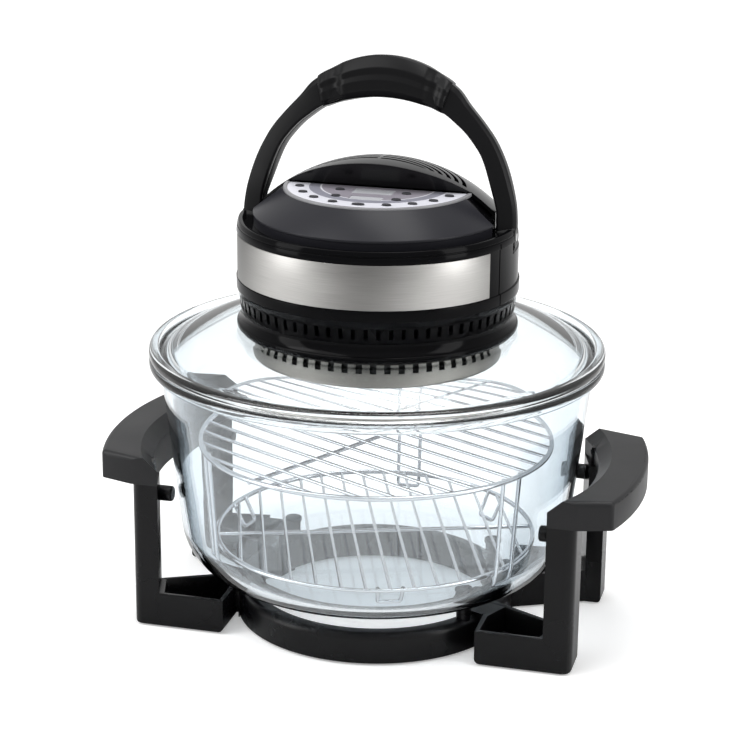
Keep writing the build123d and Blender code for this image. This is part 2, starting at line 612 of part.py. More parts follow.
with BuildPart() as motor_housing:
    with BuildSketch(Plane.XZ):
        with BuildLine():
            wall_in = TOP_WALL_RADIUS - HOUSING_WALL
            Polyline((LOWER_TAPER_RADIUS - 1.0, HOUSING_BOTTOM), (LOWER_TAPER_RADIUS, HOUSING_BOTTOM + 1),
                     (LOWER_TAPER_RADIUS + 1.4, VENT_TOP + 1.0), (HEAD_RADIUS, TAPER_TOP),
                     (HEAD_RADIUS, BAND_BOTTOM - 0.3), (BAND_SEAT, BAND_BOTTOM - 0.3),
                     (BAND_SEAT, BAND_TOP + 0.3), (HEAD_RADIUS - 0.2, BAND_TOP + 0.3),
                     (TOP_WALL_RADIUS, HOUSING_TOP), (wall_in, HOUSING_TOP),
                     (wall_in, DECK_TOP), (DECK_HOLE, DECK_TOP),
                     (DECK_HOLE, DECK_TOP - DECK_THICKNESS), (wall_in, DECK_TOP - DECK_THICKNESS),
                     (wall_in, HOUSING_FLOOR), (SHAFT_RADIUS + 3, HOUSING_FLOOR),
                     (SHAFT_RADIUS + 3, HOUSING_BOTTOM), close=True)
        make_face()
    revolve(axis=Axis.Z)
    # Band of cooling slots round the lower wall
    with BuildSketch(Plane.XZ.offset(LOWER_TAPER_RADIUS - 6)):
        with Locations((0, (VENT_BOTTOM + VENT_TOP) / 2)):
            Rectangle(VENT_WIDTH, VENT_TOP - VENT_BOTTOM)
    slot = extrude(amount=12, mode=Mode.PRIVATE)
    with PolarLocations(0, VENT_COUNT, start_angle=360 / VENT_COUNT / 2):
        add(slot, mode=Mode.SUBTRACT)
    # Pockets for the handle arms
    for side in (1, -1):
        start, end = handle_slot(side)
        with BuildSketch(Plane.XY.offset(SLOT_FLOOR)):
            add(sector_sketch(TOP_WALL_RADIUS + 3, EYE_INNER_X - 1.0, start, end))
        extrude(amount=HOUSING_TOP + 1 - SLOT_FLOOR, mode=Mode.SUBTRACT)
        # ... and a notch in the deck for the bracket of each pivot pin
        with Locations((side * (EYE_INNER_X - 4.5), 0, DECK_TOP)):
            Box(8.4, 18.4, 4 * DECK_THICKNESS, mode=Mode.SUBTRACT)
    with Locations([(x, y, HOUSING_BOTTOM) for x, y in housing_screw_places]):
        Cylinder(SCREW_RADIUS + SOCKET_FIT, 30.0, mode=Mode.SUBTRACT)
    # Inlet for the mains cable at the back
    with Locations(Location((0, HEAD_RADIUS, (BAND_BOTTOM + BAND_TOP) / 2), (90, 0, 0))):
        Cylinder(6.0, 20.0, mode=Mode.SUBTRACT)
finish(motor_housing, "motor_housing")

with BuildPart() as steel_band:
    with BuildSketch(Plane.XY.offset(BAND_BOTTOM)):
        add(sector_sketch(HEAD_RADIUS - 0.2, BAND_SEAT, -BAND_HALF_ANGLE, BAND_HALF_ANGLE))
    extrude(amount=BAND_TOP - BAND_BOTTOM)
finish(steel_band, "steel_band")

with BuildPart() as cable_gland:
    gland_z = (BAND_BOTTOM + BAND_TOP) / 2
    with BuildSketch(Plane((0, BAND_SEAT + 0.1, gland_z), z_dir=(0, 1, 0))):
        Circle(9.0)
    extrude(amount=4.0)
    fillet(cable_gland.edges().group_by(Axis.Y)[-1], 1.5)
    with BuildSketch(Plane((0, BAND_SEAT + 0.1, gland_z), z_dir=(0, -1, 0))):
        Circle(6.0 - SOCKET_FIT)
    extrude(amount=HOUSING_WALL + 3.0)
    with Locations(Location((0, BAND_SEAT, gland_z), (90, 0, 0))):
        Cylinder(3.4, 40.0, mode=Mode.SUBTRACT)
finish(cable_gland, "cable_gland")

# ---------------------------------------------------------------- head: skirt, panel, dome
with BuildPart() as front_skirt:
    with BuildSketch(Plane.XZ.rotated((0, 0, -SKIRT_HALF_ANGLE - 90))) as skirt_section:
        with BuildLine():
            top_r = BEZEL_RADIUS + 0.1
            Polyline((top_r, PANEL_TOP - 0.8), (SKIRT_RADIUS, SKIRT_EDGE_HEIGHT), (SKIRT_RADIUS, DECK_TOP),
                     (SKIRT_RADIUS - SKIRT_WALL, DECK_TOP), (SKIRT_RADIUS - SKIRT_WALL, SKIRT_EDGE_HEIGHT - 1.6),
                     (top_r, PANEL_TOP - 0.8 - 2.9), close=True)
        make_face()
    revolve(axis=Axis.Z, revolution_arc=2 * SKIRT_HALF_ANGLE)
finish(front_skirt, "front_skirt")


def front_segment(radius, edge_y):
    """The part of a circle that lies in front of the hood."""
    with BuildSketch() as segment:
        Circle(radius)
        with Locations((0, edge_y)):
            Rectangle(4 * radius, 2 * radius, align=(Align.CENTER, Align.MIN), mode=Mode.SUBTRACT)
    return segment.sketch


button_places = []
for number, angle in enumerate(BUTTON_ANGLES):
    x, y = on_circle(BUTTON_CIRCLE, angle)
    length = START_BUTTON_LENGTH if angle == 0 else BUTTON_LENGTH
    button_places.append((f"button_outer_{number + 1}", x, y, length))
for number, (x, y) in enumerate(INNER_BUTTONS):
    button_places.append((f"button_inner_{number + 1}", x, y, BUTTON_LENGTH))

PANEL_EDGE_Y = HOOD_Y - 0.4
with BuildPart() as control_panel:
    with BuildSketch(Plane.XY.offset(PANEL_BOTTOM)):
        add(front_segment(PANEL_RADIUS, PANEL_EDGE_Y))
        for name, x, y, length in button_places:
            with Locations((x, y)):
                Ellipse(length / 2 + SLIDE_FIT, BUTTON_WIDTH / 2 + SLIDE_FIT, mode=Mode.SUBTRACT)
        with Locations((0, DISPLAY_Y)):
            Rectangle(*DISPLAY_SIZE, mode=Mode.SUBTRACT)
        with Locations((0, TIMER_Y)):
            Rectangle(*TIMER_SIZE, mode=Mode.SUBTRACT)
    extrude(amount=PANEL_SHEET)
    # Four posts carry the switch board
    board_posts = [(-38.0, -9.0), (38.0, -9.0), (-30.0, -43.0), (30.0, -43.0)]
    with Locations([(x, y, BOARD_TOP) for x, y in board_posts]):
        Cylinder(2.2, PANEL_BOTTOM - BOARD_TOP, align=(Align.CENTER, Align.CENTER, Align.MIN))
finish(control_panel, "control_panel")

with BuildPart() as panel_bezel:
    with BuildSketch(Plane.XY.offset(PANEL_BOTTOM)):
        add(front_segment(BEZEL_RADIUS, PANEL_EDGE_Y))
        add(front_segment(PANEL_RADIUS, PANEL_EDGE_Y), mode=Mode.SUBTRACT)
    extrude(amount=PANEL_SHEET + BEZEL_PROUD)
    top_edges = panel_bezel.edges().group_by(Axis.Z)[-1].filter_by(GeomType.CIRCLE)
    fillet(top_edges, 0.5)
finish(panel_bezel, "panel_bezel")


def window(name, size, y, radius):
    """A display window that fills its cut-out in the panel, with its module below."""
    with BuildPart() as display:
        with BuildSketch(Plane.XY.offset(BOARD_TOP + 0.05)):
            with Locations((0, y)):
                RectangleRounded(size[0] - 0.1, size[1] - 0.1, radius)
        extrude(amount=PANEL_TOP - 0.3 - BOARD_TOP - 0.05)
    finish(display, name)


window("display_upper", DISPLAY_SIZE, DISPLAY_Y, 0.8)
window("display_lower", TIMER_SIZE, TIMER_Y, 0.8)

TACT_TOP = BOARD_TOP + TACT_HEIGHT
with BuildPart() as switch_board:
    with BuildSketch(Plane.XY.offset(BOARD_TOP - BOARD_SHEET)):
        add(front_segment(PANEL_RADIUS - 1.5, PANEL_EDGE_Y - 1.0))
    extrude(amount=BOARD_SHEET)
    # A push switch under every button
    with Locations([(x, y, BOARD_TOP) for name, x, y, length in button_places]):
        Box(4.4, 3.6, TACT_HEIGHT, align=(Align.CENTER, Align.CENTER, Align.MIN))
finish(switch_board, "switch_board")

BUTTON_FOOT = TACT_TOP + BUTTON_TRAVEL + 0.15
for name, x, y, length in button_places:
    with BuildPart() as button:
        with BuildSketch(Plane.XY.offset(BUTTON_FOOT + 1.2)):
            with Locations((x, y)):
                Ellipse(length / 2, BUTTON_WIDTH / 2)
        extrude(amount=PANEL_TOP + BUTTON_PROUD - BUTTON_FOOT - 1.2)
        fillet(button.edges().group_by(Axis.Z)[-1], 0.5)
        with Locations((x, y, BUTTON_FOOT)):
            Cylinder(1.2, 1.2, align=(Align.CENTER, Align.CENTER, Align.MIN))
    finish(button, name)

HOOD_BACK_Y = HOOD_Y + HOOD_PLATE
HOOD_BEND = PANEL_TOP + BEZEL_PROUD + 0.5
HOOD_REACH = (DOME_TOP + 1 - HOOD_BEND) * tan(radians(HOOD_LEAN))
PLATE_RUN = HOOD_PLATE / cos(radians(HOOD_LEAN))


def dome_section(shrink):
    """Half section of the dome, made smaller by a wall."""
    edge = DOME_RADIUS - shrink
    top = DOME_TOP - shrink
    sphere = DOME_SPHERE - shrink
    edge_z = top - sphere + sqrt(sphere ** 2 - edge ** 2)
    middle = edge / 2
    middle_z = top - sphere + sqrt(sphere ** 2 - middle ** 2)
    with BuildSketch(Plane.XZ) as section:
        with BuildLine():
            Line((0, DECK_TOP), (edge, DECK_TOP))
            Line((edge, DECK_TOP), (edge, edge_z))
            ThreePointArc((edge, edge_z), (middle, middle_z), (0, top))
            Line((0, top), (0, DECK_TOP))
        make_face()
    return section.sketch


def room_before_hood(back):
    """The space before the hood: upright beside the panel, then leaning forward over it."""
    with BuildPart() as room:
        with BuildSketch(Plane.YZ):
            Polygon((back, DECK_TOP - 1), (back, HOOD_BEND), (back - HOOD_REACH, DOME_TOP + 1),
                    (-2 * DOME_RADIUS, DOME_TOP + 1), (-2 * DOME_RADIUS, DECK_TOP - 1), align=None)
        extrude(amount=2 * DOME_RADIUS, both=True)
    return room.part


with BuildPart() as top_cover:
    revolve(dome_section(0), axis=Axis.Z)
    add(room_before_hood(HOOD_BACK_Y), mode=Mode.SUBTRACT)
    with BuildPart(mode=Mode.PRIVATE) as hollow:
        revolve(dome_section(DOME_WALL), axis=Axis.Z)
        add(room_before_hood(HOOD_BACK_Y + DOME_WALL), mode=Mode.SUBTRACT)
    add(hollow.part, mode=Mode.SUBTRACT)
    # Rows of curved air slots over the back, divided by radial ribs
    with BuildSketch(Plane.XY.offset(DECK_TOP + 10)) as vents:
        for row in reversed(VENT_ROWS):
            Circle(row + VENT_ROW_WIDTH / 2)
            Circle(row - VENT_ROW_WIDTH / 2, mode=Mode.SUBTRACT)
        with Locations((0, VENT_FRONT_Y)):
            Rectangle(4 * DOME_RADIUS, 2 * DOME_RADIUS, align=(Align.CENTER, Align.MAX), mode=Mode.SUBTRACT)
        with PolarLocations(0, VENT_RIBS * 2):
            with Locations((DOME_RADIUS / 2, 0)):
                Rectangle(DOME_RADIUS, VENT_RIB, mode=Mode.SUBTRACT)
    extrude(amount=DOME_TOP, mode=Mode.SUBTRACT)
finish(top_cover, "top_cover")

# The glossy plate on the leaning face of the dome
with BuildPart() as hood_plate:
    revolve(dome_section(0), axis=Axis.Z)
    with BuildSketch(Plane.YZ):
        Polygon((HOOD_BACK_Y, HOOD_BEND), (HOOD_BACK_Y - HOOD_REACH, DOME_TOP + 1),
                (HOOD_BACK_Y - HOOD_REACH - PLATE_RUN, DOME_TOP + 1), (HOOD_BACK_Y - PLATE_RUN, HOOD_BEND),
                align=None)
    extrude(amount=2 * DOME_RADIUS, both=True, mode=Mode.INTERSECT)
finish(hood_plate, "hood_plate")

# ---------------------------------------------------------------- carry handle
ARCH_HALF = PIVOT_X + ARM_WIDTH / 2
INNER_HALF = PIVOT_X - ARM_WIDTH / 2
lean = radians(HANDLE_LEAN)
HANDLE_PLANE = Plane(origin=(0, 0, PIVOT_Z), x_dir=(1, 0, 0), z_dir=(0, -cos(lean), sin(lean)))
# The arch in its own plane, right half from the pivot up: outside and inside
ARCH_OUTSIDE = ((ARCH_HALF, 0), (99.0, 28.0), (92.5, 48.5), (83.5, 67.0), (72.5, 81.5), (51.0, 98.5))
ARCH_INSIDE = ((INNER_HALF, 0), (86.2, 22.0), (76.6, 51.0), (68.0, 64.8), (56.5, 76.4), (38.0, 88.0))
GRIP_BOTTOM = ARCH_RISE - GRIP_HEIGHT
CORE_INSET = 4.5        # the arch runs through the grip as a thinner core


def mirrored(points):
    return [(-x, z) for x, z in reversed(points)]


with BuildPart() as handle_arch:
    with BuildSketch(HANDLE_PLANE) as arch_face:
        with BuildLine():
            core_top = (0, ARCH_RISE - CORE_INSET)
            core_bottom = (0, GRIP_BOTTOM + CORE_INSET)
            Spline(*ARCH_OUTSIDE, tangents=[(0, 1), (-0.80, 0.60)])
            Spline(ARCH_OUTSIDE[-1], core_top, mirrored(ARCH_OUTSIDE)[0],
                   tangents=[(-0.80, 0.60), (-0.80, -0.60)])
            Spline(*mirrored(ARCH_OUTSIDE), tangents=[(-0.80, -0.60), (0, -1)])
            Line((-ARCH_HALF, 0), (-INNER_HALF, 0))
            Spline(*[(-x, z) for x, z in ARCH_INSIDE], tangents=[(0, 1), (0.86, 0.50)])
            Spline((-ARCH_INSIDE[-1][0], ARCH_INSIDE[-1][1]), core_bottom, ARCH_INSIDE[-1],
                   tangents=[(0.86, 0.50), (0.86, -0.50)])
            Spline(*reversed(ARCH_INSIDE), tangents=[(0.86, -0.50), (0, -1)])
            Line((INNER_HALF, 0), (ARCH_HALF, 0))
        make_face()
    extrude(amount=ARM_HALF_DEPTH, both=True)
    # Round eyes for the pivot pins
    for side in (1, -1):
        with Locations(Location((side * PIVOT_X, 0, PIVOT_Z), (0, 90, 0))):
            Cylinder(EYE_RADIUS, ARM_WIDTH)
            Cylinder(PIN_RADIUS + RUN_FIT, ARM_WIDTH * 1.5, mode=Mode.SUBTRACT)
finish(handle_arch, "handle_arch")

with BuildPart() as handle_grip:
    with BuildSketch(HANDLE_PLANE) as grip_face:
        with BuildLine():
            droop_top = ARCH_RISE - GRIP_DROOP
            droop_bottom = GRIP_BOTTOM - GRIP_SAG
            ThreePointArc((-GRIP_HALF_LENGTH, droop_top), (0, ARCH_RISE), (GRIP_HALF_LENGTH, droop_top))
            Line((GRIP_HALF_LENGTH, droop_top), (GRIP_HALF_LENGTH - 7, droop_bottom))
            ThreePointArc((GRIP_HALF_LENGTH - 7, droop_bottom), (0, GRIP_BOTTOM),
                          (7 - GRIP_HALF_LENGTH, droop_bottom))
            Line((7 - GRIP_HALF_LENGTH, droop_bottom), (-GRIP_HALF_LENGTH, droop_top))
        make_face()
    extrude(amount=GRIP_HALF_DEPTH, both=True)
    long_edges = handle_grip.edges().filter_by(GeomType.CIRCLE)
    fillet(long_edges, 6.5)
    add(handle_arch.part, mode=Mode.SUBTRACT)
    add(handle_grip.solids().sort_by(SortBy.VOLUME)[-1], mode=Mode.REPLACE)
finish(handle_grip, "handle_grip")

with BuildPart() as handle_pins:
    for side in (1, -1):
        with BuildSketch(Plane((side * (EYE_INNER_X - 8.0), 0, PIVOT_Z), z_dir=(side, 0, 0))):
            Circle(PIN_RADIUS)
        extrude(amount=8.0 + ARM_WIDTH)
finish(handle_pins, "handle_pins")

BRACKET_TOP = DECK_TOP - DECK_THICKNESS
with BuildPart() as pin_brackets:
    for side in (1, -1):
        with Locations((side * (EYE_INNER_X - 5.0), 0, DECK_TOP)):
            Box(7.0, 18.0, 18.0, align=(Align.CENTER, Align.CENTER, Align.MAX))
        with Locations((side * (EYE_INNER_X - 5.0), 0, BRACKET_TOP)):
            Box(7.0, 30.0, 3.0, align=(Align.CENTER, Align.CENTER, Align.MAX))
    add(handle_pins.part, mode=Mode.SUBTRACT)
finish(pin_brackets, "pin_brackets")

# ---------------------------------------------------------------- heater guard and heater
with BuildPart() as heater_guard:
    with BuildSketch(Plane.XZ):
        with BuildLine():
            inner = GUARD_RADIUS - GUARD_SHEET
            Polyline((GUARD_RADIUS, GUARD_TOP), (GUARD_RADIUS, GUARD_BOTTOM + 1.2))
            ThreePointArc((GUARD_RADIUS, GUARD_BOTTOM + 1.2), (GUARD_RADIUS - 0.4, GUARD_BOTTOM + 0.35),
                          (GUARD_RADIUS - 1.2, GUARD_BOTTOM))
            Polyline((GUARD_RADIUS - 1.2, GUARD_BOTTOM), (GUARD_RADIUS - 6.0, GUARD_BOTTOM),
                     (GUARD_RADIUS - 6.0, GUARD_BOTTOM + GUARD_SHEET), (inner, GUARD_BOTTOM + GUARD_SHEET),
                     (inner, GUARD_TOP), (GUARD_RADIUS, GUARD_TOP))
        make_face()
    revolve(axis=Axis.Z)
    with BuildSketch(Plane.XZ.offset(GUARD_RADIUS - 4)):
        with Locations((0, GUARD_HOLE_LEVEL)):
            Rectangle(GUARD_HOLE_WIDTH, GUARD_HOLE_HEIGHT)
    hole = extrude(amount=8, mode=Mode.PRIVATE)
    with PolarLocations(0, GUARD_HOLES):
        add(hole, mode=Mode.SUBTRACT)
finish(heater_guard, "heater_guard")

GRILLE_LEVEL = GUARD_BOTTOM + GUARD_SHEET + GRILLE_BAR
with BuildPart() as guard_grille:
    with BuildSketch(Plane.XZ):
        with Locations((22.0, GRILLE_LEVEL), (44.0, GRILLE_LEVEL), (66.0, GRILLE_LEVEL)):
            RegularPolygon(GRILLE_BAR, WIRE_FACETS)
    revolve(axis=Axis.Z)
    for angle in (0, 60, 120):
        x, y = on_circle(GUARD_RADIUS - GUARD_SHEET - 0.3, angle)
        add(rod(Vector(x, y, GRILLE_LEVEL), Vector(-x, -y, GRILLE_LEVEL), GRILLE_BAR * 0.9))
finish(guard_grille, "guard_grille")

with BuildPart() as halogen_tube:
    half_gap = TUBE_GAP_ANGLE / 2
    start = Plane.XZ.rotated((0, 0, half_gap + 90))
    with BuildSketch(Plane.XZ.rotated((0, 0, half_gap + 90))):
        with Locations((TUBE_CIRCLE, TUBE_LEVEL)):
            Circle(TUBE_RADIUS)
    revolve(axis=Axis.Z, revolution_arc=360 - TUBE_GAP_ANGLE)
finish(halogen_tube, "halogen_tube")

tube_ends = [180 - half_gap, 180 + half_gap]
with BuildPart() as tube_caps:
    # Ceramic end caps that stand on the reflector and hold the tube's two ends
    for angle, turn in zip(tube_ends, (-1, 1)):
        x, y = on_circle(TUBE_CIRCLE, angle)
        with Locations(Location((x, y, TUBE_LEVEL - 7.0), (0, 0, angle))):
            with Locations((turn * -4.5, 0, 0)):
                Box(9.0, 14.0, REFLECTOR_LEVEL - TUBE_LEVEL + 7.0,
                    align=(Align.CENTER, Align.CENTER, Align.MIN))
finish(tube_caps, "tube_caps")

with BuildPart() as lid_gasket:
    with BuildSketch(Plane.XY.offset(LID_COLLAR_TOP)):
        Circle(HEAD_RADIUS - 2.2)
        Circle(LID_HOLE_RADIUS + 1.0, mode=Mode.SUBTRACT)
    extrude(amount=GASKET)
finish(lid_gasket, "lid_gasket")

SHAFT_HOLE = SHAFT_RADIUS + 3.0
with BuildPart() as reflector:
    with BuildSketch(Plane.XY.offset(REFLECTOR_LEVEL)):
        Circle(GUARD_RADIUS + 1.0)
        Circle(SHAFT_HOLE, mode=Mode.SUBTRACT)
    extrude(amount=SHEET)
finish(reflector, "reflector")

with BuildPart() as insulation_plate:
    with BuildSketch(Plane.XY.offset(REFLECTOR_LEVEL + SHEET)):
        Circle(GUARD_RADIUS + 0.6)
        Circle(SHAFT_HOLE, mode=Mode.SUBTRACT)
    extrude(amount=HOUSING_BOTTOM - REFLECTOR_LEVEL - SHEET)
finish(insulation_plate, "insulation_plate")

# ---------------------------------------------------------------- motor, shaft and fans
with BuildPart() as motor_shaft:
    with Locations((0, 0, FAN_LEVEL - 6.0)):
        Cylinder(SHAFT_RADIUS, MOTOR_TOP + 5.0 - FAN_LEVEL + 6.0,
                 align=(Align.CENTER, Align.CENTER, Align.MIN))
    chamfer(motor_shaft.edges().filter_by(GeomType.CIRCLE), 0.4)
finish(motor_shaft, "motor_shaft")


def bladed_fan(radius, level, blades, hub_radius, hub_height, sections):
    """A fan with twisted blades; each section is (share of the radius, chord, pitch in degrees)."""
    with BuildPart() as fan:
        with Locations((0, 0, level)):
            Cylinder(hub_radius, hub_height)
        with BuildPart(mode=Mode.PRIVATE) as blade:
            for share, chord, pitch in sections:
                with BuildSketch(Plane((share * radius, 0, level), x_dir=(0, cos(radians(pitch)),
                                       sin(radians(pitch))), z_dir=(1, 0, 0))):
                    SlotOverall(chord, 1.2)
            loft()
        with PolarLocations(0, blades):
            add(blade.part)
        with Locations((0, 0, level)):
            Cylinder(SHAFT_RADIUS + 0.02, 2 * hub_height, mode=Mode.SUBTRACT)
    return fan


convection_fan = bladed_fan(FAN_RADIUS, FAN_LEVEL, FAN_BLADES, 8.0, 10.0,
                            ((0.13, 11.0, 40), (0.6, 19.0, 28), (1.0, 23.0, 20)))
finish(convection_fan, "convection_fan")
cooling_fan = bladed_fan(COOLING_FAN_RADIUS, COOLING_FAN_LEVEL, COOLING_BLADES, 7.0, 9.0,
                         ((0.13, 9.0, 42), (0.6, 14.0, 33), (1.0, 18.0, 24)))
finish(cooling_fan, "cooling_fan")

with BuildPart() as motor:
    with Locations((0, 0, MOTOR_BOTTOM)):
        Cylinder(MOTOR_RADIUS, MOTOR_TOP - MOTOR_BOTTOM, align=(Align.CENTER, Align.CENTER, Align.MIN))
    fillet(motor.edges(), 2.0)
    with Locations((0, 0, MOTOR_BOTTOM - 3)):
        Cylinder(8.0, MOTOR_TOP - MOTOR_BOTTOM + 5, align=(Align.CENTER, Align.CENTER, Align.MIN))
    with Locations((0, 0, MOTOR_BOTTOM)):
        Cylinder(SHAFT_RADIUS + RUN_FIT, 4 * (MOTOR_TOP - MOTOR_BOTTOM), mode=Mode.SUBTRACT)
finish(motor, "motor")

BRACKET_PLATE = 2.5
with BuildPart() as motor_bracket:
    with BuildSketch(Plane.XY.offset(MOTOR_BOTTOM - BRACKET_PLATE)):
        Circle(MOTOR_RADIUS + 1)
        with PolarLocations(0, 2):
            Rectangle(2 * COOLING_FAN_RADIUS + 26, 12)
        with PolarLocations(0, 2, start_angle=90):
            Rectangle(2 * COOLING_FAN_RADIUS + 26, 12)
        Circle(8.0 + SOCKET_FIT, mode=Mode.SUBTRACT)
    extrude(amount=BRACKET_PLATE)
    with BuildSketch(Plane.XY.offset(HOUSING_FLOOR)):
        with PolarLocations(COOLING_FAN_RADIUS + 9, 4):
            Circle(3.5)
    extrude(amount=MOTOR_BOTTOM - BRACKET_PLATE - HOUSING_FLOOR)
finish(motor_bracket, "motor_bracket")

BOARD_LEVEL = 262.0
with BuildPart() as power_board:
    with Locations((0, 66.0, BOARD_LEVEL)):
        Box(78.0, 32.0, BOARD_SHEET, align=(Align.CENTER, Align.CENTER, Align.MIN))
    with Locations((-20.0, 66.0, BOARD_LEVEL + BOARD_SHEET), (4.0, 66.0, BOARD_LEVEL + BOARD_SHEET)):
        Box(19.0, 15.0, 15.0, align=(Align.CENTER, Align.CENTER, Align.MIN))
    with Locations((26.0, 66.0, BOARD_LEVEL + BOARD_SHEET)):
        Cylinder(6.0, 18.0, align=(Align.CENTER, Align.CENTER, Align.MIN))
    with GridLocations(68.0, 0, 2, 1):
        with Locations((0, 72.0, HOUSING_FLOOR)):
            Cylinder(3.0, BOARD_LEVEL - HOUSING_FLOOR, align=(Align.CENTER, Align.CENTER, Align.MIN))
finish(power_board, "power_board")

with BuildPart() as housing_screws:
    housing_screw = pan_head_screw(HOUSING_SCREW_LENGTH)
    for x, y in housing_screw_places:
        add(housing_screw.moved(Location((x, y, HOUSING_FLOOR), (180, 0, 0))))
finish(housing_screws, "housing_screws")
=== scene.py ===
# %% [markdown]
# # A halogen oven
# The oven is a glass bowl on a black stand, closed by a glass lid that carries the heater head.
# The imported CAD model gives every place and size. This script gives each piece its surface:
# smooth turned glass, brushed steel, polished and satin plastic, plated wire.

# %% Load the frame
import bpy
import bmesh
import json
from math import acos, asin, cos, degrees, pi, radians, sin, sqrt, tan
from mathutils import Matrix, Vector

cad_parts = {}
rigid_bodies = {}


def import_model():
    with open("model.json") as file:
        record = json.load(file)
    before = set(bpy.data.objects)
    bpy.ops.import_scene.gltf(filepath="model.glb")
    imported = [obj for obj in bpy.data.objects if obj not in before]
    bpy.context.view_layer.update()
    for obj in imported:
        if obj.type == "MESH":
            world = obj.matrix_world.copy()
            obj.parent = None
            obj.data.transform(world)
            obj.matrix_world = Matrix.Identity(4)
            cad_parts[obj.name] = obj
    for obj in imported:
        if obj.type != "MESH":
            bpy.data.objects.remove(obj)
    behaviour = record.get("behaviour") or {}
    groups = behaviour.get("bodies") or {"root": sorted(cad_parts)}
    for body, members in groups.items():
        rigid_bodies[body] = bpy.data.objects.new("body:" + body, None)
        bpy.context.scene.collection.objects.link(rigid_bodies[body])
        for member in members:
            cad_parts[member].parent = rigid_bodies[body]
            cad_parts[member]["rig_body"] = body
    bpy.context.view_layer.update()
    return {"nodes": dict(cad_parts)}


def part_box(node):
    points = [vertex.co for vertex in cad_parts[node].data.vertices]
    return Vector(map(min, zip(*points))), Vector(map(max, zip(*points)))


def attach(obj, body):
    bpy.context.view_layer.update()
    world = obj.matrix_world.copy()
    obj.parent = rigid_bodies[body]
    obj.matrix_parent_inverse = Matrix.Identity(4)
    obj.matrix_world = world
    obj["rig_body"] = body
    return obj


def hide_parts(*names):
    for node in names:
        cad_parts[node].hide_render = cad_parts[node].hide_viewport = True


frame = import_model()
scene = bpy.context.scene
MM = 0.001

# %% [markdown]
# ## Camera
# A product picture is taken from a little above with a long lens, so that upright edges stay upright.
# The camera looks at the middle of the oven; its three axes are worked out from the two view angles
# and a small roll, which is easier to check than a look-at constraint.

# %% Camera
VIEW_AZIMUTH = radians(14.6)
VIEW_ELEVATION = radians(17.1)
VIEW_ROLL = radians(0.6)
VIEW_DISTANCE = 1.6
VIEW_TARGET = Vector((0, 0, 0.213))
SENSOR_WIDTH = 36
LENS_LENGTH = 106.36
SHIFT_X = -0.0126
SHIFT_Y = -0.0374
GLASS_BOUNCES = 28       # light crosses many faces of thick glass; with fewer bounces the rims turn black

back = Vector((sin(VIEW_AZIMUTH) * cos(VIEW_ELEVATION), -cos(VIEW_AZIMUTH) * cos(VIEW_ELEVATION),
               sin(VIEW_ELEVATION)))
level = Vector((cos(VIEW_AZIMUTH), sin(VIEW_AZIMUTH), 0))
upward = back.cross(level)
right = cos(VIEW_ROLL) * level + sin(VIEW_ROLL) * upward
above = cos(VIEW_ROLL) * upward - sin(VIEW_ROLL) * level

lens = bpy.data.cameras.new("studio camera")
lens.sensor_width = SENSOR_WIDTH
lens.lens = LENS_LENGTH
lens.shift_x = SHIFT_X
lens.shift_y = SHIFT_Y
lens.clip_end = 50
camera = bpy.data.objects.new("studio camera", lens)
scene.collection.objects.link(camera)
axes = Matrix((right, above, back)).transposed()
camera.matrix_world = Matrix.Translation(VIEW_TARGET + back * VIEW_DISTANCE) @ axes.to_4x4()
scene.camera = camera
scene.view_settings.view_transform = "Standard"
scene.cycles.max_bounces = GLASS_BOUNCES
scene.cycles.transmission_bounces = GLASS_BOUNCES
print("camera at", [round(v, 3) for v in camera.matrix_world.translation])

# %% [markdown]
# ## Nodes
# Materials, the world and the Geometry Nodes trees are all built from nodes, so a few helpers make
# a node, set or link its inputs, and start a tree with named inputs and outputs.

# %% Node helpers
def add_node(tree, kind, inputs, **settings):
    """A new node: its settings first, then a value or a link for each input."""
    node = tree.nodes.new(kind)
    for label, value in settings.items():
        setattr(node, label, value)
    for label, value in inputs.items():
        if isinstance(value, bpy.types.NodeSocket):
            tree.links.new(value, node.inputs[label])
        else:
            node.inputs[label].default_value = value
    return node


def math_node(tree, operation, *values):
    """The result of a Math node on one, two or three numbers or sockets."""
    return add_node(tree, "ShaderNodeMath", dict(enumerate(values)), operation=operation).outputs[0]


def range_node(tree, value, low, high):
    """A value from 0..1 taken to low..high."""
    return add_node(tree, "ShaderNodeMapRange", {"Value": value, "To Min": low, "To Max": high}).outputs["Result"]


def noise_node(tree, vector, scale, detail=3.0):
    return add_node(tree, "ShaderNodeTexNoise", {"Vector": vector, "Scale": scale, "Detail": detail}).outputs["Fac"]


def split(tree, vector):
    return add_node(tree, "ShaderNodeSeparateXYZ", {0: vector}).outputs


def combine(tree, **parts):
    return add_node(tree, "ShaderNodeCombineXYZ", parts).outputs[0]


def new_tree(kind, name, inputs, outputs):
    """An empty tree from (name, socket kind, value) inputs; gives the tree, what goes in and what comes out."""
    tree = bpy.data.node_groups.new(name, kind)
    for label, socket_kind, value in inputs:
        socket = tree.interface.new_socket(label, in_out="INPUT", socket_type="NodeSocket" + socket_kind)
        if value is not None:
            socket.default_value = value
    for label, socket_kind in outputs:
        tree.interface.new_socket(label, in_out="OUTPUT", socket_type="NodeSocket" + socket_kind)
    return tree, tree.nodes.new("NodeGroupInput").outputs, tree.nodes.new("NodeGroupOutput").inputs


print("node helpers ready")

# %% [markdown]
# ## Floor and light
# The set is a white table in a white room. The room is weaker for the light that falls on the oven
# than for what the eye and the glass see, and a little darker at eye level than overhead, so that
# white stays white and colours do not wash out. A wide soft sun from the upper left models the
# shapes. Two tall panels at the sides and one overhead draw the long highlights that polished
# plastic needs.

# %% World
WORLD_LIGHT = 0.55       # strength of the room for the light that it throws on the oven
DARK_SIDE = 0.80         # how much of its light the room has at eye level
EYE_LEVEL = 0.25         # upward part of a direction where the room starts to brighten, and where it has
OVERHEAD = 0.85


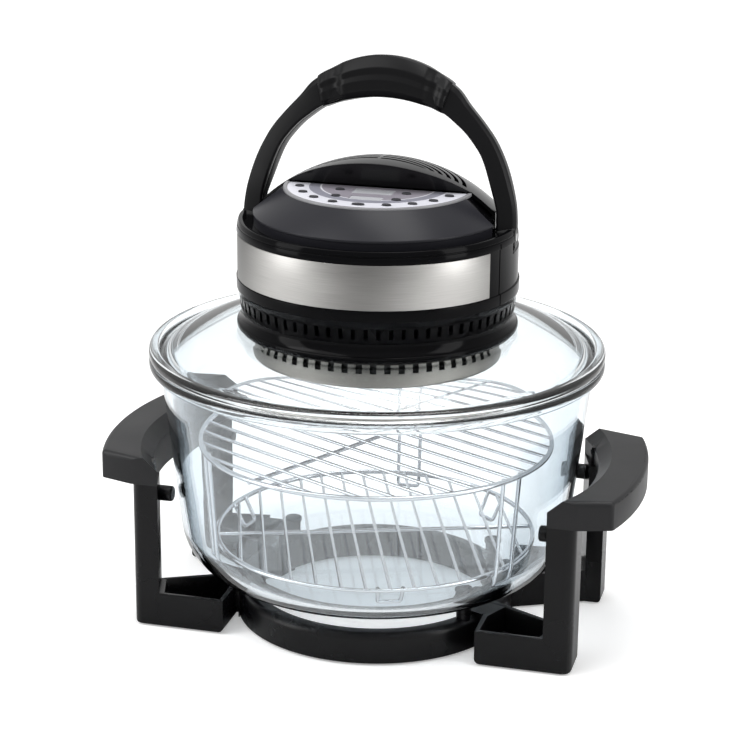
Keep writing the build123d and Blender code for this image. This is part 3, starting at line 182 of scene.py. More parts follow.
def seen_directly(tree, *rays):
    """1 for camera rays and the rays that are named, 0 for the rays that light the object."""
    path = tree.nodes.new("ShaderNodeLightPath")
    seen = path.outputs["Is Camera Ray"]
    for ray in rays:
        seen = math_node(tree, "MAXIMUM", seen, path.outputs[ray])
    return seen


world = bpy.data.worlds.new("white room")
world.use_nodes = True
scene.world = world
tree = world.node_tree
compass = split(tree, tree.nodes.new("ShaderNodeTexCoord").outputs["Generated"])
height_share = add_node(tree, "ShaderNodeMapRange", {
    "Value": compass["Z"], "From Min": EYE_LEVEL, "From Max": OVERHEAD, "To Min": DARK_SIDE, "To Max": 1.0},
    interpolation_type="SMOOTHSTEP")
strength = range_node(tree, seen_directly(tree, "Is Glossy Ray", "Is Transmission Ray"), WORLD_LIGHT, 1.0)
room_light = math_node(tree, "MULTIPLY", strength, height_share.outputs["Result"])
white_wall = math_node(tree, "MAXIMUM", room_light, seen_directly(tree, "Is Transmission Ray"))
background = tree.nodes["Background"]
background.inputs["Color"].default_value = (1, 1, 1, 1)
tree.links.new(white_wall, background.inputs["Strength"])
print("world:", world.name)

# %% Floor
FLOOR_HALF = 7.0
PAPER_GLOW = 0.32        # lifts the paper to white for the eye, and leaves it its shadow

floor_mesh = bpy.data.meshes.new("floor")
floor_mesh.from_pydata([(x * FLOOR_HALF, y * FLOOR_HALF, 0) for x, y in ((-1, -1), (1, -1), (1, 1), (-1, 1))],
                       [], [(0, 1, 2, 3)])
studio_floor = bpy.data.objects.new("floor", floor_mesh)
scene.collection.objects.link(studio_floor)
paper = bpy.data.materials.new("white paper")
paper.use_nodes = True
tree = paper.node_tree
surface = tree.nodes["Principled BSDF"]
for label, value in (("Base Color", (0.9, 0.9, 0.9, 1)), ("Roughness", 0.9), ("Specular IOR Level", 0.0),
                     ("Emission Color", (1, 1, 1, 1))):
    surface.inputs[label].default_value = value
glow = range_node(tree, seen_directly(tree, "Is Transmission Ray"), 0.0, PAPER_GLOW)
tree.links.new(glow, surface.inputs["Emission Strength"])
floor_mesh.materials.append(paper)
print("floor", 2 * FLOOR_HALF, "m square")

# %% Lamps
def aimed_lamp(name, kind, place, strength, size):
    """A lamp that faces the oven; its size is in degrees for a sun, in metres for a panel."""
    lamp = bpy.data.lights.new(name, kind)
    lamp.energy = strength
    if kind == "SUN":
        lamp.angle = radians(size)
    else:
        lamp.shape = "RECTANGLE"
        lamp.size, lamp.size_y = size
    holder = bpy.data.objects.new(name, lamp)
    holder.location = place
    holder.rotation_euler = (Vector(place) - VIEW_TARGET).to_track_quat("Z", "Y").to_euler()
    scene.collection.objects.link(holder)


aimed_lamp("soft key", "SUN", (-1.4, -0.9, 2.6), 1.0, 40)
aimed_lamp("left panel", "AREA", (-1.6, -0.9, 0.9), 16, (0.8, 2.0))
aimed_lamp("right panel", "AREA", (1.8, -0.4, 0.9), 16, (0.7, 2.0))
aimed_lamp("top panel", "AREA", (0.2, 0.2, 2.0), 14, (1.3, 0.7))

# %% [markdown]
# ## Effects shared by the finishes
# Three small shader groups make the surface detail. *moulded grain* is the faint orange peel of
# moulded plastic, *brushed round* is the pattern that a belt leaves on steel turned round the Z axis,
# together with broad upright stripes of painted reflection, light and dark by turns where the lamps
# would show, and *handling* is the soft patchiness that fingers and cloths leave on any glossy face.
# They could be pictures, but noise on Object coordinates has no seams and stays sharp close up.

# %% Shader groups
def new_group(name, inputs, outputs):
    """An empty shader group with a Vector and float inputs, and float outputs."""
    return new_tree("ShaderNodeTree", name, [("Vector", "Vector", None)] + [(n, "Float", v) for n, v in inputs],
                    [(n, "Float") for n in outputs])


def end_group(tree, made, **results):
    for label, socket in results.items():
        tree.links.new(socket, made[label])


moulded_grain, given, made = new_group(
    "moulded grain", (("Scale", 900.0), ("Rough Low", 0.3), ("Rough High", 0.4)), ("Roughness", "Height"))
broad = noise_node(moulded_grain, given["Vector"], 24.0, 4.0)
end_group(moulded_grain, made, Height=noise_node(moulded_grain, given["Vector"], given["Scale"], 2.0),
          Roughness=range_node(moulded_grain, broad, given["Rough Low"], given["Rough High"]))

handling, given, made = new_group("handling", (("Rough Low", 0.05), ("Rough High", 0.12)), ("Roughness",))
patches = noise_node(handling, given["Vector"], 18.0, 6.0)
end_group(handling, made, Roughness=range_node(handling, patches, given["Rough Low"], given["Rough High"]))
print("groups:", moulded_grain.name, "and", handling.name)

# %% Brushed steel group
STRETCH = 0.02           # the lines run far along the brushing and change fast across it
REFLECTION_STRIPES_ROUND = 360 / 70  # painted reflection of the lamps: broad upright stripes round the steel, light and dark by turns
REFLECTION_STRIPE_START = radians(-110) * REFLECTION_STRIPES_ROUND
REFLECTION_STRIPE_WANDER = 0.2

brushing_and_painted_reflection, given, made = new_group(
    "brushed round", (("Radius", 0.1), ("Fineness", 2600.0), ("Contrast", 0.2), ("Streaks", 0.0)),
    ("Shade", "Roughness", "Height"))
tree = brushing_and_painted_reflection
apart = split(tree, given["Vector"])
turn_angle = math_node(tree, "ARCTAN2", apart["Y"], apart["X"])
along = math_node(tree, "MULTIPLY", turn_angle, given["Radius"])
line_vector = combine(tree, X=math_node(tree, "MULTIPLY", along, STRETCH), Y=apart["Z"])
lines = noise_node(tree, line_vector, given["Fineness"], 5.0)
# Painted reflection: a slow cosine round the axis makes broad upright stripes, light and dark by turns, where the
# lamps would reflect in the steel
wander = math_node(tree, "MULTIPLY", noise_node(tree, line_vector, 40.0), REFLECTION_STRIPE_WANDER)
phase = math_node(tree, "MULTIPLY", math_node(tree, "ADD", turn_angle, wander), REFLECTION_STRIPES_ROUND)
reflection_wave = math_node(tree, "COSINE", math_node(tree, "SUBTRACT", phase, REFLECTION_STRIPE_START))
reflection_share = math_node(tree, "MULTIPLY_ADD", reflection_wave, 0.5, 0.5)
painted_stripe = range_node(tree, reflection_share, math_node(tree, "SUBTRACT", 1.0, given["Streaks"]), 1.0)
fine_shade = range_node(tree, lines, math_node(tree, "SUBTRACT", 1.0, given["Contrast"]), 1.0)
# Shade is the fine brushed lines times the painted reflection stripes
end_group(tree, made, Shade=math_node(tree, "MULTIPLY", painted_stripe, fine_shade),
          Roughness=range_node(tree, lines, 0.24, 0.42), Height=lines)
print("group:", brushing_and_painted_reflection.name)

# %% [markdown]
# ## Finishes
# Each finish starts as one Principled shader. Numbers that are the same all over are set on the shader;
# only what changes over the surface comes from the groups. Each kind of finish (moulded, polished,
# brushed, clear glass) is a function, so that two blacks differ only in the numbers that matter.

# %% Helpers for finishes
finishes = {}


def finish(name, colour, **numbers):
    """A material with one Principled shader; numbers are set on its sockets by name."""
    material = bpy.data.materials.new(name)
    material.use_nodes = True
    shader = material.node_tree.nodes["Principled BSDF"]
    shader.inputs["Base Color"].default_value = (*colour, 1)
    for socket, value in numbers.items():
        shader.inputs[socket.replace("_", " ")].default_value = value
    finishes[name] = material
    return material


def feed(material, **sockets):
    """Link sockets to the Principled shader's inputs."""
    shader = material.node_tree.nodes["Principled BSDF"]
    for label, socket in sockets.items():
        material.node_tree.links.new(socket, shader.inputs[label.replace("_", " ")])


def place_group(material, group, **values):
    """What the group gives in this material, fed with Object coordinates."""
    tree = material.node_tree
    inputs = {label.replace("_", " "): value for label, value in values.items()}
    inputs["Vector"] = tree.nodes.new("ShaderNodeTexCoord").outputs["Object"]
    return add_node(tree, "ShaderNodeGroup", inputs, node_tree=group).outputs


def add_bump(material, height, distance, strength=0.4):
    inputs = {"Height": height, "Distance": distance, "Strength": strength}
    feed(material, Normal=add_node(material.node_tree, "ShaderNodeBump", inputs).outputs["Normal"])


def moulded(name, colour, low, high, scale=900.0, depth=0.00002, **numbers):
    """Moulded plastic: fine grain, with roughness that drifts between low and high."""
    material = finish(name, colour, **numbers)
    grain = place_group(material, moulded_grain, Scale=scale, Rough_Low=low, Rough_High=high)
    feed(material, Roughness=grain["Roughness"])
    add_bump(material, grain["Height"], depth)


def polished(name, colour, low, high, **numbers):
    """A polished face: mirror-like, with soft patches from handling."""
    material = finish(name, colour, **numbers)
    feed(material, Roughness=place_group(material, handling, Rough_Low=low, Rough_High=high)["Roughness"])


def brushed(name, colour, radius, contrast, fineness=2600.0, painted_reflection=0.0, **numbers):
    """Steel brushed round the Z axis, with broad upright stripes of painted reflection in its colour."""
    material = finish(name, colour, Metallic=1.0, **numbers)
    pattern = place_group(material, brushing_and_painted_reflection, Radius=radius, Contrast=contrast, Fineness=fineness,
                          Streaks=painted_reflection)
    tint = add_node(material.node_tree, "ShaderNodeMix", {"Factor": 1.0, "A": (*colour, 1), "B": pattern["Shade"]},
                    data_type="RGBA", blend_type="MULTIPLY")
    feed(material, Base_Color=tint.outputs["Result"], Roughness=pattern["Roughness"])
    add_bump(material, pattern["Height"], 0.00001, 0.25)


GLASS_INDEX = 1.47
CLEAR_SHADOW = 0.85      # shadow rays go straight through most of the glass, so light reaches what is inside


def clear_glass(name, through, edge):
    """Clear glass that turns to its edge colour where it is seen at a grazing angle."""
    material = finish(name, through, Roughness=0.0, IOR=GLASS_INDEX, Transmission_Weight=1.0)
    tree = material.node_tree
    facing = add_node(tree, "ShaderNodeLayerWeight", {"Blend": 0.35}).outputs["Facing"]
    tint = add_node(tree, "ShaderNodeMix", {"Factor": facing, "A": (*through, 1), "B": (*edge, 1)}, data_type="RGBA")
    feed(material, Base_Color=tint.outputs["Result"])
    shadow = tree.nodes.new("ShaderNodeLightPath").outputs["Is Shadow Ray"]
    mix = add_node(tree, "ShaderNodeMixShader", {
        0: math_node(tree, "MULTIPLY", shadow, CLEAR_SHADOW), 1: tree.nodes["Principled BSDF"].outputs["BSDF"],
        2: tree.nodes.new("ShaderNodeBsdfTransparent").outputs["BSDF"]})
    tree.links.new(mix.outputs["Shader"], tree.nodes["Material Output"].inputs["Surface"])


print("helpers for finishes ready")

# %% Plastics, metals and glass
DEEP_BLACK = (0.003, 0.003, 0.0035)
moulded("stand black", DEEP_BLACK, 0.22, 0.34, Specular_IOR_Level=0.18)
moulded("handle black", (0.012, 0.012, 0.013), 0.34, 0.46, Specular_IOR_Level=0.22)
moulded("grip black", DEEP_BLACK, 0.26, 0.36, Specular_IOR_Level=0.13)
moulded("button dark", (0.03, 0.03, 0.035), 0.40, 0.50, Specular_IOR_Level=0.3)
moulded("skirt grey", (0.016, 0.016, 0.020), 0.28, 0.36, Specular_IOR_Level=0.16)
moulded("bezel grey", (0.22, 0.22, 0.23), 0.25, 0.35)
moulded("soft rubber", (0.010, 0.010, 0.010), 0.65, 0.80, 400.0, 0.00006, Specular_IOR_Level=0.3)
moulded("fan plastic", (0.012, 0.012, 0.012), 0.4, 0.5, Specular_IOR_Level=0.3)
moulded("fibre board", (0.62, 0.58, 0.50), 0.85, 0.95, 250.0, 0.0002)
moulded("white ceramic", (0.75, 0.73, 0.68), 0.5, 0.6, 500.0, 0.00008)
moulded("circuit board", (0.02, 0.10, 0.035), 0.35, 0.5)
polished("housing black", (0.0015, 0.0015, 0.002), 0.08, 0.14, Specular_IOR_Level=0.06)
polished("cover black", DEEP_BLACK, 0.12, 0.20, Specular_IOR_Level=0.30)
polished("hood gloss", (0.004, 0.004, 0.0045), 0.22, 0.30, Specular_IOR_Level=0.20)
polished("display film", (0.56, 0.57, 0.60), 0.10, 0.18)
polished("plated wire", (0.62, 0.63, 0.65), 0.10, 0.20, Metallic=1.0)
polished("plated screw", (0.55, 0.55, 0.55), 0.20, 0.30, Metallic=1.0)
polished("zinc sheet", (0.45, 0.46, 0.47), 0.30, 0.45, Metallic=1.0)
# Near-black metal for the painted shade behind the guard's slots
polished("painted shade sheet", (0.03, 0.03, 0.03), 0.35, 0.50, Metallic=1.0)
polished("bright aluminium", (0.80, 0.80, 0.81), 0.15, 0.30, Metallic=1.0)
# The band and the guard get broad upright stripes of painted reflection in their colour; the last number before
# Anisotropic sets how strong they are
brushed("brushed band", (0.60, 0.59, 0.57), 0.103, 0.34, 1900.0, 0.62, Anisotropic=0.75)
brushed("guard steel", (0.40, 0.38, 0.35), 0.090, 0.35, 2600.0, 0.4, Anisotropic=0.5)
brushed("motor case", (0.35, 0.35, 0.36), 0.027, 0.10)
clear_glass("bowl glass", (0.94, 0.965, 0.975), (0.42, 0.53, 0.62))
clear_glass("lid glass", (0.96, 0.98, 0.985), (0.80, 0.86, 0.89))
clear_glass("quartz", (0.97, 0.97, 0.96), (0.80, 0.80, 0.80))
print(len(finishes), "finishes")

# %% [markdown]
# ## Making and placing pieces
# Most pieces are lofts: rings of points that are joined one to the next. A turned piece is a loft
# whose rings are one closed section, swept round the Z axis. A section is a list of corners, each with
# its rounding, so that light catches a soft edge. Every finished piece sits at the origin with its
# place in its mesh, rides on its CAD body and stands for its CAD nodes.

# %% Mesh helpers
def raw_piece(name, points, faces):
    """A piece from points in millimetres."""
    mesh = bpy.data.meshes.new(name)
    mesh.from_pydata([(x * MM, y * MM, z * MM) for x, y, z in points], [], faces)
    piece = bpy.data.objects.new(name, mesh)
    scene.collection.objects.link(piece)
    return piece


def tidy(piece, smooth=35, merge=0.00001):
    """Doubles merged, faces outwards, smooth up to an angle."""
    shape = bmesh.new()
    shape.from_mesh(piece.data)
    bmesh.ops.remove_doubles(shape, verts=shape.verts, dist=merge)
    bmesh.ops.dissolve_degenerate(shape, edges=shape.edges, dist=merge)
    bmesh.ops.recalc_face_normals(shape, faces=shape.faces)
    shape.to_mesh(piece.data)
    shape.free()
    for face in piece.data.polygons:
        face.use_smooth = True
    piece.data.set_sharp_from_angle(angle=radians(smooth))
    piece.data.update()


def baked(piece):
    """The piece's modifiers become part of its mesh."""
    bpy.context.view_layer.update()
    graph = bpy.context.evaluated_depsgraph_get()
    result = bpy.data.meshes.new_from_object(piece.evaluated_get(graph), depsgraph=graph)
    piece.modifiers.clear()
    piece.data = result


def bevelled(piece, width, segments=2, angle=35):
    """Every edge sharper than an angle gets a small rounding; width in millimetres."""
    edge = piece.modifiers.new("soft edges", "BEVEL")
    edge.width = width * MM
    edge.segments = segments
    edge.limit_method = "ANGLE"
    edge.angle_limit = radians(angle)
    edge.miter_outer = "MITER_ARC"
    edge.harden_normals = True
    baked(piece)


def thickened(piece, thickness, smooth, even=False):
    """A sheet gets its thickness, in millimetres, on its inner side."""
    wall = piece.modifiers.new("wall", "SOLIDIFY")
    wall.thickness = thickness * MM
    wall.offset = -1
    wall.use_even_offset = even
    baked(piece)
    tidy(piece, smooth)


def put(piece, material, body, stands_for=()):
    """Finish, body and CAD nodes of a piece."""
    piece.data.materials.clear()
    piece.data.materials.append(finishes[material])
    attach(piece, body)
    if stands_for:
        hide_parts(*stands_for)
    return piece


print("mesh helpers ready")

# %% Outlines
def rounded(corners, steps=5):
    """A closed outline from (x, y, radius) corners, each rounded by an arc."""
    outline = []
    count = len(corners)
    for index, (x, y, radius) in enumerate(corners):
        here = Vector((x, y))
        if radius <= 0:
            outline.append((x, y))
            continue
        before = (Vector(corners[index - 1][:2]) - here).normalized()
        after = (Vector(corners[(index + 1) % count][:2]) - here).normalized()
        half = before.angle(after) / 2
        centre = here + (before + after).normalized() * radius / sin(half)
        first = here + before * radius / tan(half) - centre
        last = here + after * radius / tan(half) - centre
        turn = first.angle_signed(last)
        for step in range(steps + 1):
            spoke = first.copy()
            spoke.rotate(Matrix.Rotation(-turn * step / steps, 2))
            outline.append(tuple(centre + spoke))
    return outline


def arc_through(first, middle, last, steps=16):
    """Points on the arc through three points."""
    (ax, ay), (bx, by), (cx, cy) = first, middle, last
    a_square, b_square, c_square = ax**2 + ay**2, bx**2 + by**2, cx**2 + cy**2
    scale = 2 * (ax * (by - cy) + bx * (cy - ay) + cx * (ay - by))
    centre = Vector(((a_square * (by - cy) + b_square * (cy - ay) + c_square * (ay - by)) / scale,
                     (a_square * (cx - bx) + b_square * (ax - cx) + c_square * (bx - ax)) / scale))
    start, via, end = (Vector(p) - centre for p in (first, middle, last))
    turn = -(start.angle_signed(via) + via.angle_signed(end))
    points = []
    for step in range(steps + 1):
        spoke = start.copy()
        spoke.rotate(Matrix.Rotation(turn * step / steps, 2))
        points.append(tuple(centre + spoke))
    return points


print("outline helpers ready")

# %% Lofts, cuts and dressed solids
def lofted(name, rings, closed=False, smooth=35, caps=True):
    """Rings of the same number of points joined one to the next, with capped ends."""
    size, count = len(rings[0]), len(rings)
    faces = []
    for row in range(count if closed else count - 1):
        following = (row + 1) % count
        for spot in range(size):
            beside = (spot + 1) % size
            faces.append((row * size + spot, following * size + spot, following * size + beside, row * size + beside))
    if caps and not closed:
        faces += [tuple(range(size)), tuple((count - 1) * size + spot for spot in range(size))]
    piece = raw_piece(name, [point for ring in rings for point in ring], faces)
    tidy(piece, smooth)
    return piece


def turned(name, section, start=0, end=360, steps=180):
    """A section of (radius, height) points swept round Z; angles from the front towards +X."""
    whole = end - start >= 360
    angles = [radians(start + (end - start) * row / steps) for row in range(steps if whole else steps + 1)]
    return lofted(name, [[(r * sin(angle), -r * cos(angle), z) for r, z in section] for angle in angles], whole)


def prism(name, corners, low, high, along_y=False, mirror=(1, 1)):
    """A straight-sided block to cut with: its outline lies in XY, or in XZ where it runs along Y."""
    rings = [[(a, level, b) if along_y else (a, b, level) for a, b in corners] for level in (low, high)]
    return lofted(name, [[(x * mirror[0], y * mirror[1], z) for x, y, z in ring] for ring in rings])


def cut(piece, cutter):
    """Take the cutter's volume out of the piece."""
    taking = piece.modifiers.new("cut", "BOOLEAN")
    taking.operation = "DIFFERENCE"
    taking.solver = "EXACT"
    taking.object = cutter
    baked(piece)
    bpy.data.objects.remove(cutter)


def dressed(node, material, width=0.0, cutters=()):
    """A merged copy of a CAD node, cut and with softened edges, which stands for the node."""
    source = frame["nodes"][node]
    piece = bpy.data.objects.new(node + "_skin", source.data.copy())
    scene.collection.objects.link(piece)
    shape = bmesh.new()
    shape.from_mesh(piece.data)
    bmesh.ops.remove_doubles(shape, verts=shape.verts, dist=0.00002)
    bmesh.ops.dissolve_limit(shape, angle_limit=radians(1.0), verts=shape.verts, edges=shape.edges)
    shape.to_mesh(piece.data)
    shape.free()
    tidy(piece, 30)
    for cutter in cutters:
        cut(piece, cutter)
    if width:
        bevelled(piece, width, 2, 40)
    put(piece, material, source["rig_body"], (node,))


print("loft and cut helpers ready")

# %% [markdown]
# ## Glass bowl
# The bowl is pressed glass: a slightly flared wall with a wide rounded foot and a rolled rim.
# One closed section, inside and outside, is swept round the axis, so the wall has its real thickness
# and bends light as thick glass does.

# %% Bowl
RIM = 167.5
BOWL_FOOT = 141.7
BOWL_NECK = 159.3
BOWL_BASE = 42.0
BOWL_TOP = 205.0
BOWL_WALL = 5.0
INNER_FLOOR = BOWL_BASE + 6.0
NECK_HEIGHT = BOWL_TOP - 8.0


def bowl_radius(height):
    return BOWL_FOOT + (height - BOWL_BASE) * (BOWL_NECK - BOWL_FOOT) / (NECK_HEIGHT - BOWL_BASE)


bowl_section = rounded([
    (0, BOWL_BASE, 0), (BOWL_FOOT, BOWL_BASE, 38.0), (BOWL_NECK, NECK_HEIGHT, 2.0),
    (RIM, NECK_HEIGHT + 1.2, 3.0), (RIM, BOWL_TOP, 3.0), (bowl_radius(BOWL_TOP) - BOWL_WALL, BOWL_TOP, 2.0),
    (bowl_radius(INNER_FLOOR) - BOWL_WALL, INNER_FLOOR, 33.0), (0, INNER_FLOOR, 0)], 10)
bowl = put(turned("bowl", bowl_section, steps=240), "bowl glass", "bowl", ("glass_bowl",))
print("bowl faces", len(bowl.data.polygons))

# %% [markdown]
# ## Glass lid
# The lid is a shallow glass dome with a thick rolled rim that lies on the bowl's rim, a lip that
# keeps it centred, and a collar round the hole for the head. Solidify would give it an even wall; a
# drawn section can be thick at the rim and thin at the collar, as pressed glass is.

# %% Lid
LID_BASE = BOWL_TOP + 0.3
LID_RIM_TOP = LID_BASE + 7.7
LIP_OUTER = 153.3
LIP_INNER = 149.3
LIP_BASE = LID_BASE - 6.5
VALLEY_RADIUS = 158.0
VALLEY = LID_RIM_TOP - 4.2
COLLAR = 91.6
COLLAR_EDGE = 104.0
COLLAR_BASE = 221.5
COLLAR_TOP = 226.0

under_side = arc_through((LIP_INNER, VALLEY - 3.0), (131.0, 216.5), (COLLAR_EDGE, COLLAR_BASE), 20)
upper_side = arc_through((COLLAR_EDGE, COLLAR_TOP), (133.0, 221.0), (VALLEY_RADIUS, VALLEY), 24)
lid_section = rounded([
    (VALLEY_RADIUS, VALLEY, 0), (RIM - 7.0, LID_RIM_TOP, 2.0), (RIM, LID_RIM_TOP, 3.4), (RIM, LID_BASE, 2.8),
    (LIP_OUTER, LID_BASE, 0), (LIP_OUTER, LIP_BASE, 1.5), (LIP_INNER, LIP_BASE, 1.5)], 8)
lid_section += under_side + [(COLLAR, COLLAR_BASE), (COLLAR, COLLAR_TOP)] + upper_side[:-1]
lid = put(turned("lid", lid_section, steps=240), "lid glass", "lid", ("glass_lid",))
print("lid faces", len(lid.data.polygons))

# %% [markdown]
# ## Stand
# The legs, the base ring and the side handles are moulded in the same satin black plastic. Their CAD
# solids already have the right shape, so a merged copy gets softened edges that catch the light.
# Each foot also gets a trough in its top and rounded lower corners, which small blocks cut out. The
# blocks are drawn for the front right leg and mirrored for the others.

# %% Stand
LEG_SIDE = 165.5
FOOT_END = 95.0
STAND_BASE = 1.5
TROUGH = [(98.0, -77.0), (141.5, -77.0), (148.5, -53.5), (107.5, -32.5), (98.5, -52.0)]
TROUGH_FLOOR = 8.0
OVER_FOOT = 30.0
RING_TOP = 24.5


def corner_cutter(edge, inward, radius, mirror):
    """What lies outside a rounded lower corner of a leg: inward is 1 where the leg is on the +X side of it."""
    turns = [radians(15 * step) for step in range(7)]
    outline = [(edge + inward * radius * (1 - sin(turn)), STAND_BASE + radius * (1 - cos(turn))) for turn in turns]
    outline += [(edge - inward * 2, STAND_BASE + radius), (edge - inward * 2, 0.0), (edge + inward * radius, 0.0)]
    return prism("corner", outline, -90.0, -10.0, True, mirror)


for leg, mirror in (("leg_front_right", (1, 1)), ("leg_front_left", (-1, 1)),
                    ("leg_rear_right", (1, -1)), ("leg_rear_left", (-1, -1))):
    cutters = [prism("trough", TROUGH, TROUGH_FLOOR, OVER_FOOT, False, mirror),
               corner_cutter(FOOT_END, 1, 4.0, mirror), corner_cutter(LEG_SIDE, -1, 3.0, mirror)]
    dressed(leg, "stand black", 0.7, cutters)
for handle in ("side_handle_right", "side_handle_left"):
    dressed(handle, "handle black", 1.0)
ring_section = rounded([(88.5, STAND_BASE, 1.0), (104.0, STAND_BASE, 1.0), (104.0, RING_TOP, 5.5),
                        (88.5, RING_TOP, 5.5)], 8)
put(turned("ring", ring_section, steps=200), "stand black", "stand", ("base_ring",))
dressed("bowl_bumpers", "stand black")
dressed("bowl_rests", "stand black", 0.4)
dressed("rest_pads", "soft rubber", 0.2)
print("stand dressed")

# %% [markdown]
# ## Repeats made with Geometry Nodes
# Slots that repeat round the oven's axis are drawn once, as one bay of a wall, and a small node tree
# copies the bay round the axis, makes the copies real and merges them along their seams.

# %% Copies round the axis
SEAM_GAP = 0.00003


def end_tree(tree, geometry, given, made, merge=True):
    """Realize the copies, merge their seams, set the finish and end the tree."""
    last = add_node(tree, "GeometryNodeRealizeInstances", {"Geometry": geometry}).outputs["Geometry"]
    if merge:
        weld = add_node(tree, "GeometryNodeMergeByDistance", {"Geometry": last, "Distance": SEAM_GAP})
        last = weld.outputs["Geometry"]
    coat = add_node(tree, "GeometryNodeSetMaterial", {"Geometry": last, "Material": given["Finish"]})
    tree.links.new(coat.outputs["Geometry"], made["Geometry"])


round_copies, given, made = new_tree("GeometryNodeTree", "copies round the axis", (
    ("Geometry", "Geometry", None), ("Count", "Int", 12), ("Step", "Float", 0.1), ("Finish", "Material", None)),
    (("Geometry", "Geometry"),))
tree = round_copies
whole = add_node(tree, "GeometryNodeGeometryToInstance", {0: given["Geometry"]})
copies = add_node(tree, "GeometryNodeDuplicateElements", {"Geometry": whole.outputs[0], "Amount": given["Count"]},
                  domain="INSTANCE")
turn_vector = combine(tree, Z=math_node(tree, "MULTIPLY", copies.outputs["Duplicate Index"], given["Step"]))
as_turn = add_node(tree, "FunctionNodeEulerToRotation", {0: turn_vector})
spin = add_node(tree, "GeometryNodeRotateInstances", {
    "Instances": copies.outputs["Geometry"], "Rotation": as_turn.outputs[0], "Local Space": False})
end_tree(tree, spin.outputs[0], given, made)


def grown(piece, tree, **inputs):
    """Run a node tree on a piece and keep the plain result."""
    modifier = piece.modifiers.new("grown", "NODES")
    modifier.node_group = tree
    for item in tree.interface.items_tree:
        if item.in_out == "INPUT" and item.name in inputs:
            modifier[item.identifier] = inputs[item.name]
    baked(piece)


print("tree:", round_copies.name)

# %% Slotted walls
def slotted_wall(name, radius_at, heights, slot, count, material, thickness, smooth):
    """A round wall of sheet with one upright slot, given as (low, high, width), in each of its bays."""
    slot_low, slot_high, slot_width = slot
    half_bay = pi / count
    half_slot = slot_width / 2 / radius_at((slot_low + slot_high) / 2)
    between = (half_bay + half_slot) / 2
    columns = [-half_bay, -between, -half_slot, 0.0, half_slot, between, half_bay]
    points = [(radius_at(z) * sin(angle), -radius_at(z) * cos(angle), z) for z in heights for angle in columns]
    wide = len(columns)
    faces = []
    for row, (low, high) in enumerate(zip(heights, heights[1:])):
        for column in range(wide - 1):
            if not (column in (2, 3) and low >= slot_low - 0.01 and high <= slot_high + 0.01):
                corner = row * wide + column
                faces.append((corner, corner + 1, corner + wide + 1, corner + wide))
    wall = raw_piece(name, points, faces)
    grown(wall, round_copies, Count=count, Step=2 * pi / count, Finish=finishes[material])
    thickened(wall, thickness, smooth)
    return wall


print("slotted walls ready")

# %% [markdown]
# ## Heater guard
# Under the lid hangs a pressed steel guard with a row of upright slots for the hot air. Its foot is
# rolled inwards, and a near-black ring behind the slots is painted shade: it makes the slots look as
# dark as the shaded inside of the head. Blocks could cut the slots one by one; copies of one bay give
# cleaner faces. Solidify then makes the sheet thick.

# %% Guard
GUARD_RADIUS = 89.8
GUARD_TOP = 232.6
GUARD_FOOT = 201.4
GUARD_SLOTS = 56
GUARD_SLOT = (214.8, 221.2, 4.6)
FOOT_ROLL = 2.0
ROLL_TOP = GUARD_FOOT + 0.9
SHADE_SHEET_INNER = 85.4
SHADE_SHEET_OUTER = 85.8
SHADE_SHEET_LOW = 211.0
SHADE_SHEET_HIGH = 226.5


def guard_radius(z):
    """The wall is straight; its foot is rolled inwards."""
    rise = min(max(z - GUARD_FOOT, 0), FOOT_ROLL)
    return GUARD_RADIUS - 0.45 - 1.6 * (1 - sqrt(1 - (1 - rise / FOOT_ROLL) ** 2))


guard_heights = [GUARD_FOOT + h for h in (0, 0.25, 0.6, 1.1, FOOT_ROLL, 4.0)]
guard_heights += [*GUARD_SLOT[:2], 224.6, 225.4, GUARD_TOP]
guard = slotted_wall("guard", guard_radius, guard_heights, GUARD_SLOT, GUARD_SLOTS, "guard steel", 0.8, 40)
put(guard, "guard steel", "lid", ("heater_guard",))
# Painted shade: a near-black ring behind the slots stands in for the shade inside the head
shade_sheet_section = [(SHADE_SHEET_INNER, SHADE_SHEET_LOW), (SHADE_SHEET_OUTER, SHADE_SHEET_LOW), (SHADE_SHEET_OUTER, SHADE_SHEET_HIGH),
                  (SHADE_SHEET_INNER, SHADE_SHEET_HIGH)]
put(turned("guard_painted_shade", shade_sheet_section, steps=120), "painted shade sheet", "lid")
roll_section = rounded([(83.8, GUARD_FOOT, 0.4), (88.6, GUARD_FOOT, 0.4), (88.6, ROLL_TOP, 0.4),
                        (83.8, ROLL_TOP, 0.4)], 3)
put(turned("guard_roll", roll_section, steps=180), "guard steel", "lid")
print("guard faces", len(guard.data.polygons))

# %% [markdown]
# ## Head housing
# The drum is one polished black moulding. Its lower wall is taken in, and a row of upright air slots
# runs round it. The steel band lies in a shallow seat between two fine seams. Near the top edge a
# groove runs round, and two lined pockets let the arms of the carry handle swing. The vented wall is
# made like the guard; the drum is turned, and its few pockets and seams are cut out of it.

# %% Vented wall
WALL_FOOT = 241.3
WALL_TOP = 252.4
WALL_INNER = 97.6
FLOOR_BASE = 240.3
VENTS = 72
VENT = (243.6, 251.4, 3.2)


def lower_wall(z):
    return 100.0 + 1.4 * (z - WALL_FOOT) / (WALL_TOP - WALL_FOOT)


vented_wall = slotted_wall("vented_wall", lower_wall, [WALL_FOOT, *VENT[:2], WALL_TOP], VENT, VENTS,
                           "housing black", 2.6, 30)
put(vented_wall, "housing black", "lid")
base_section = rounded([(5.5, FLOOR_BASE, 0), (99.2, FLOOR_BASE, 0.8), (100.0, WALL_FOOT, 0), (97.4, WALL_FOOT, 0),
                        (97.4, 243.1, 0), (5.5, 243.1, 0)], 4)
put(turned("housing_floor", base_section, steps=180), "housing black", "lid")
print("vented wall faces", len(vented_wall.data.polygons))

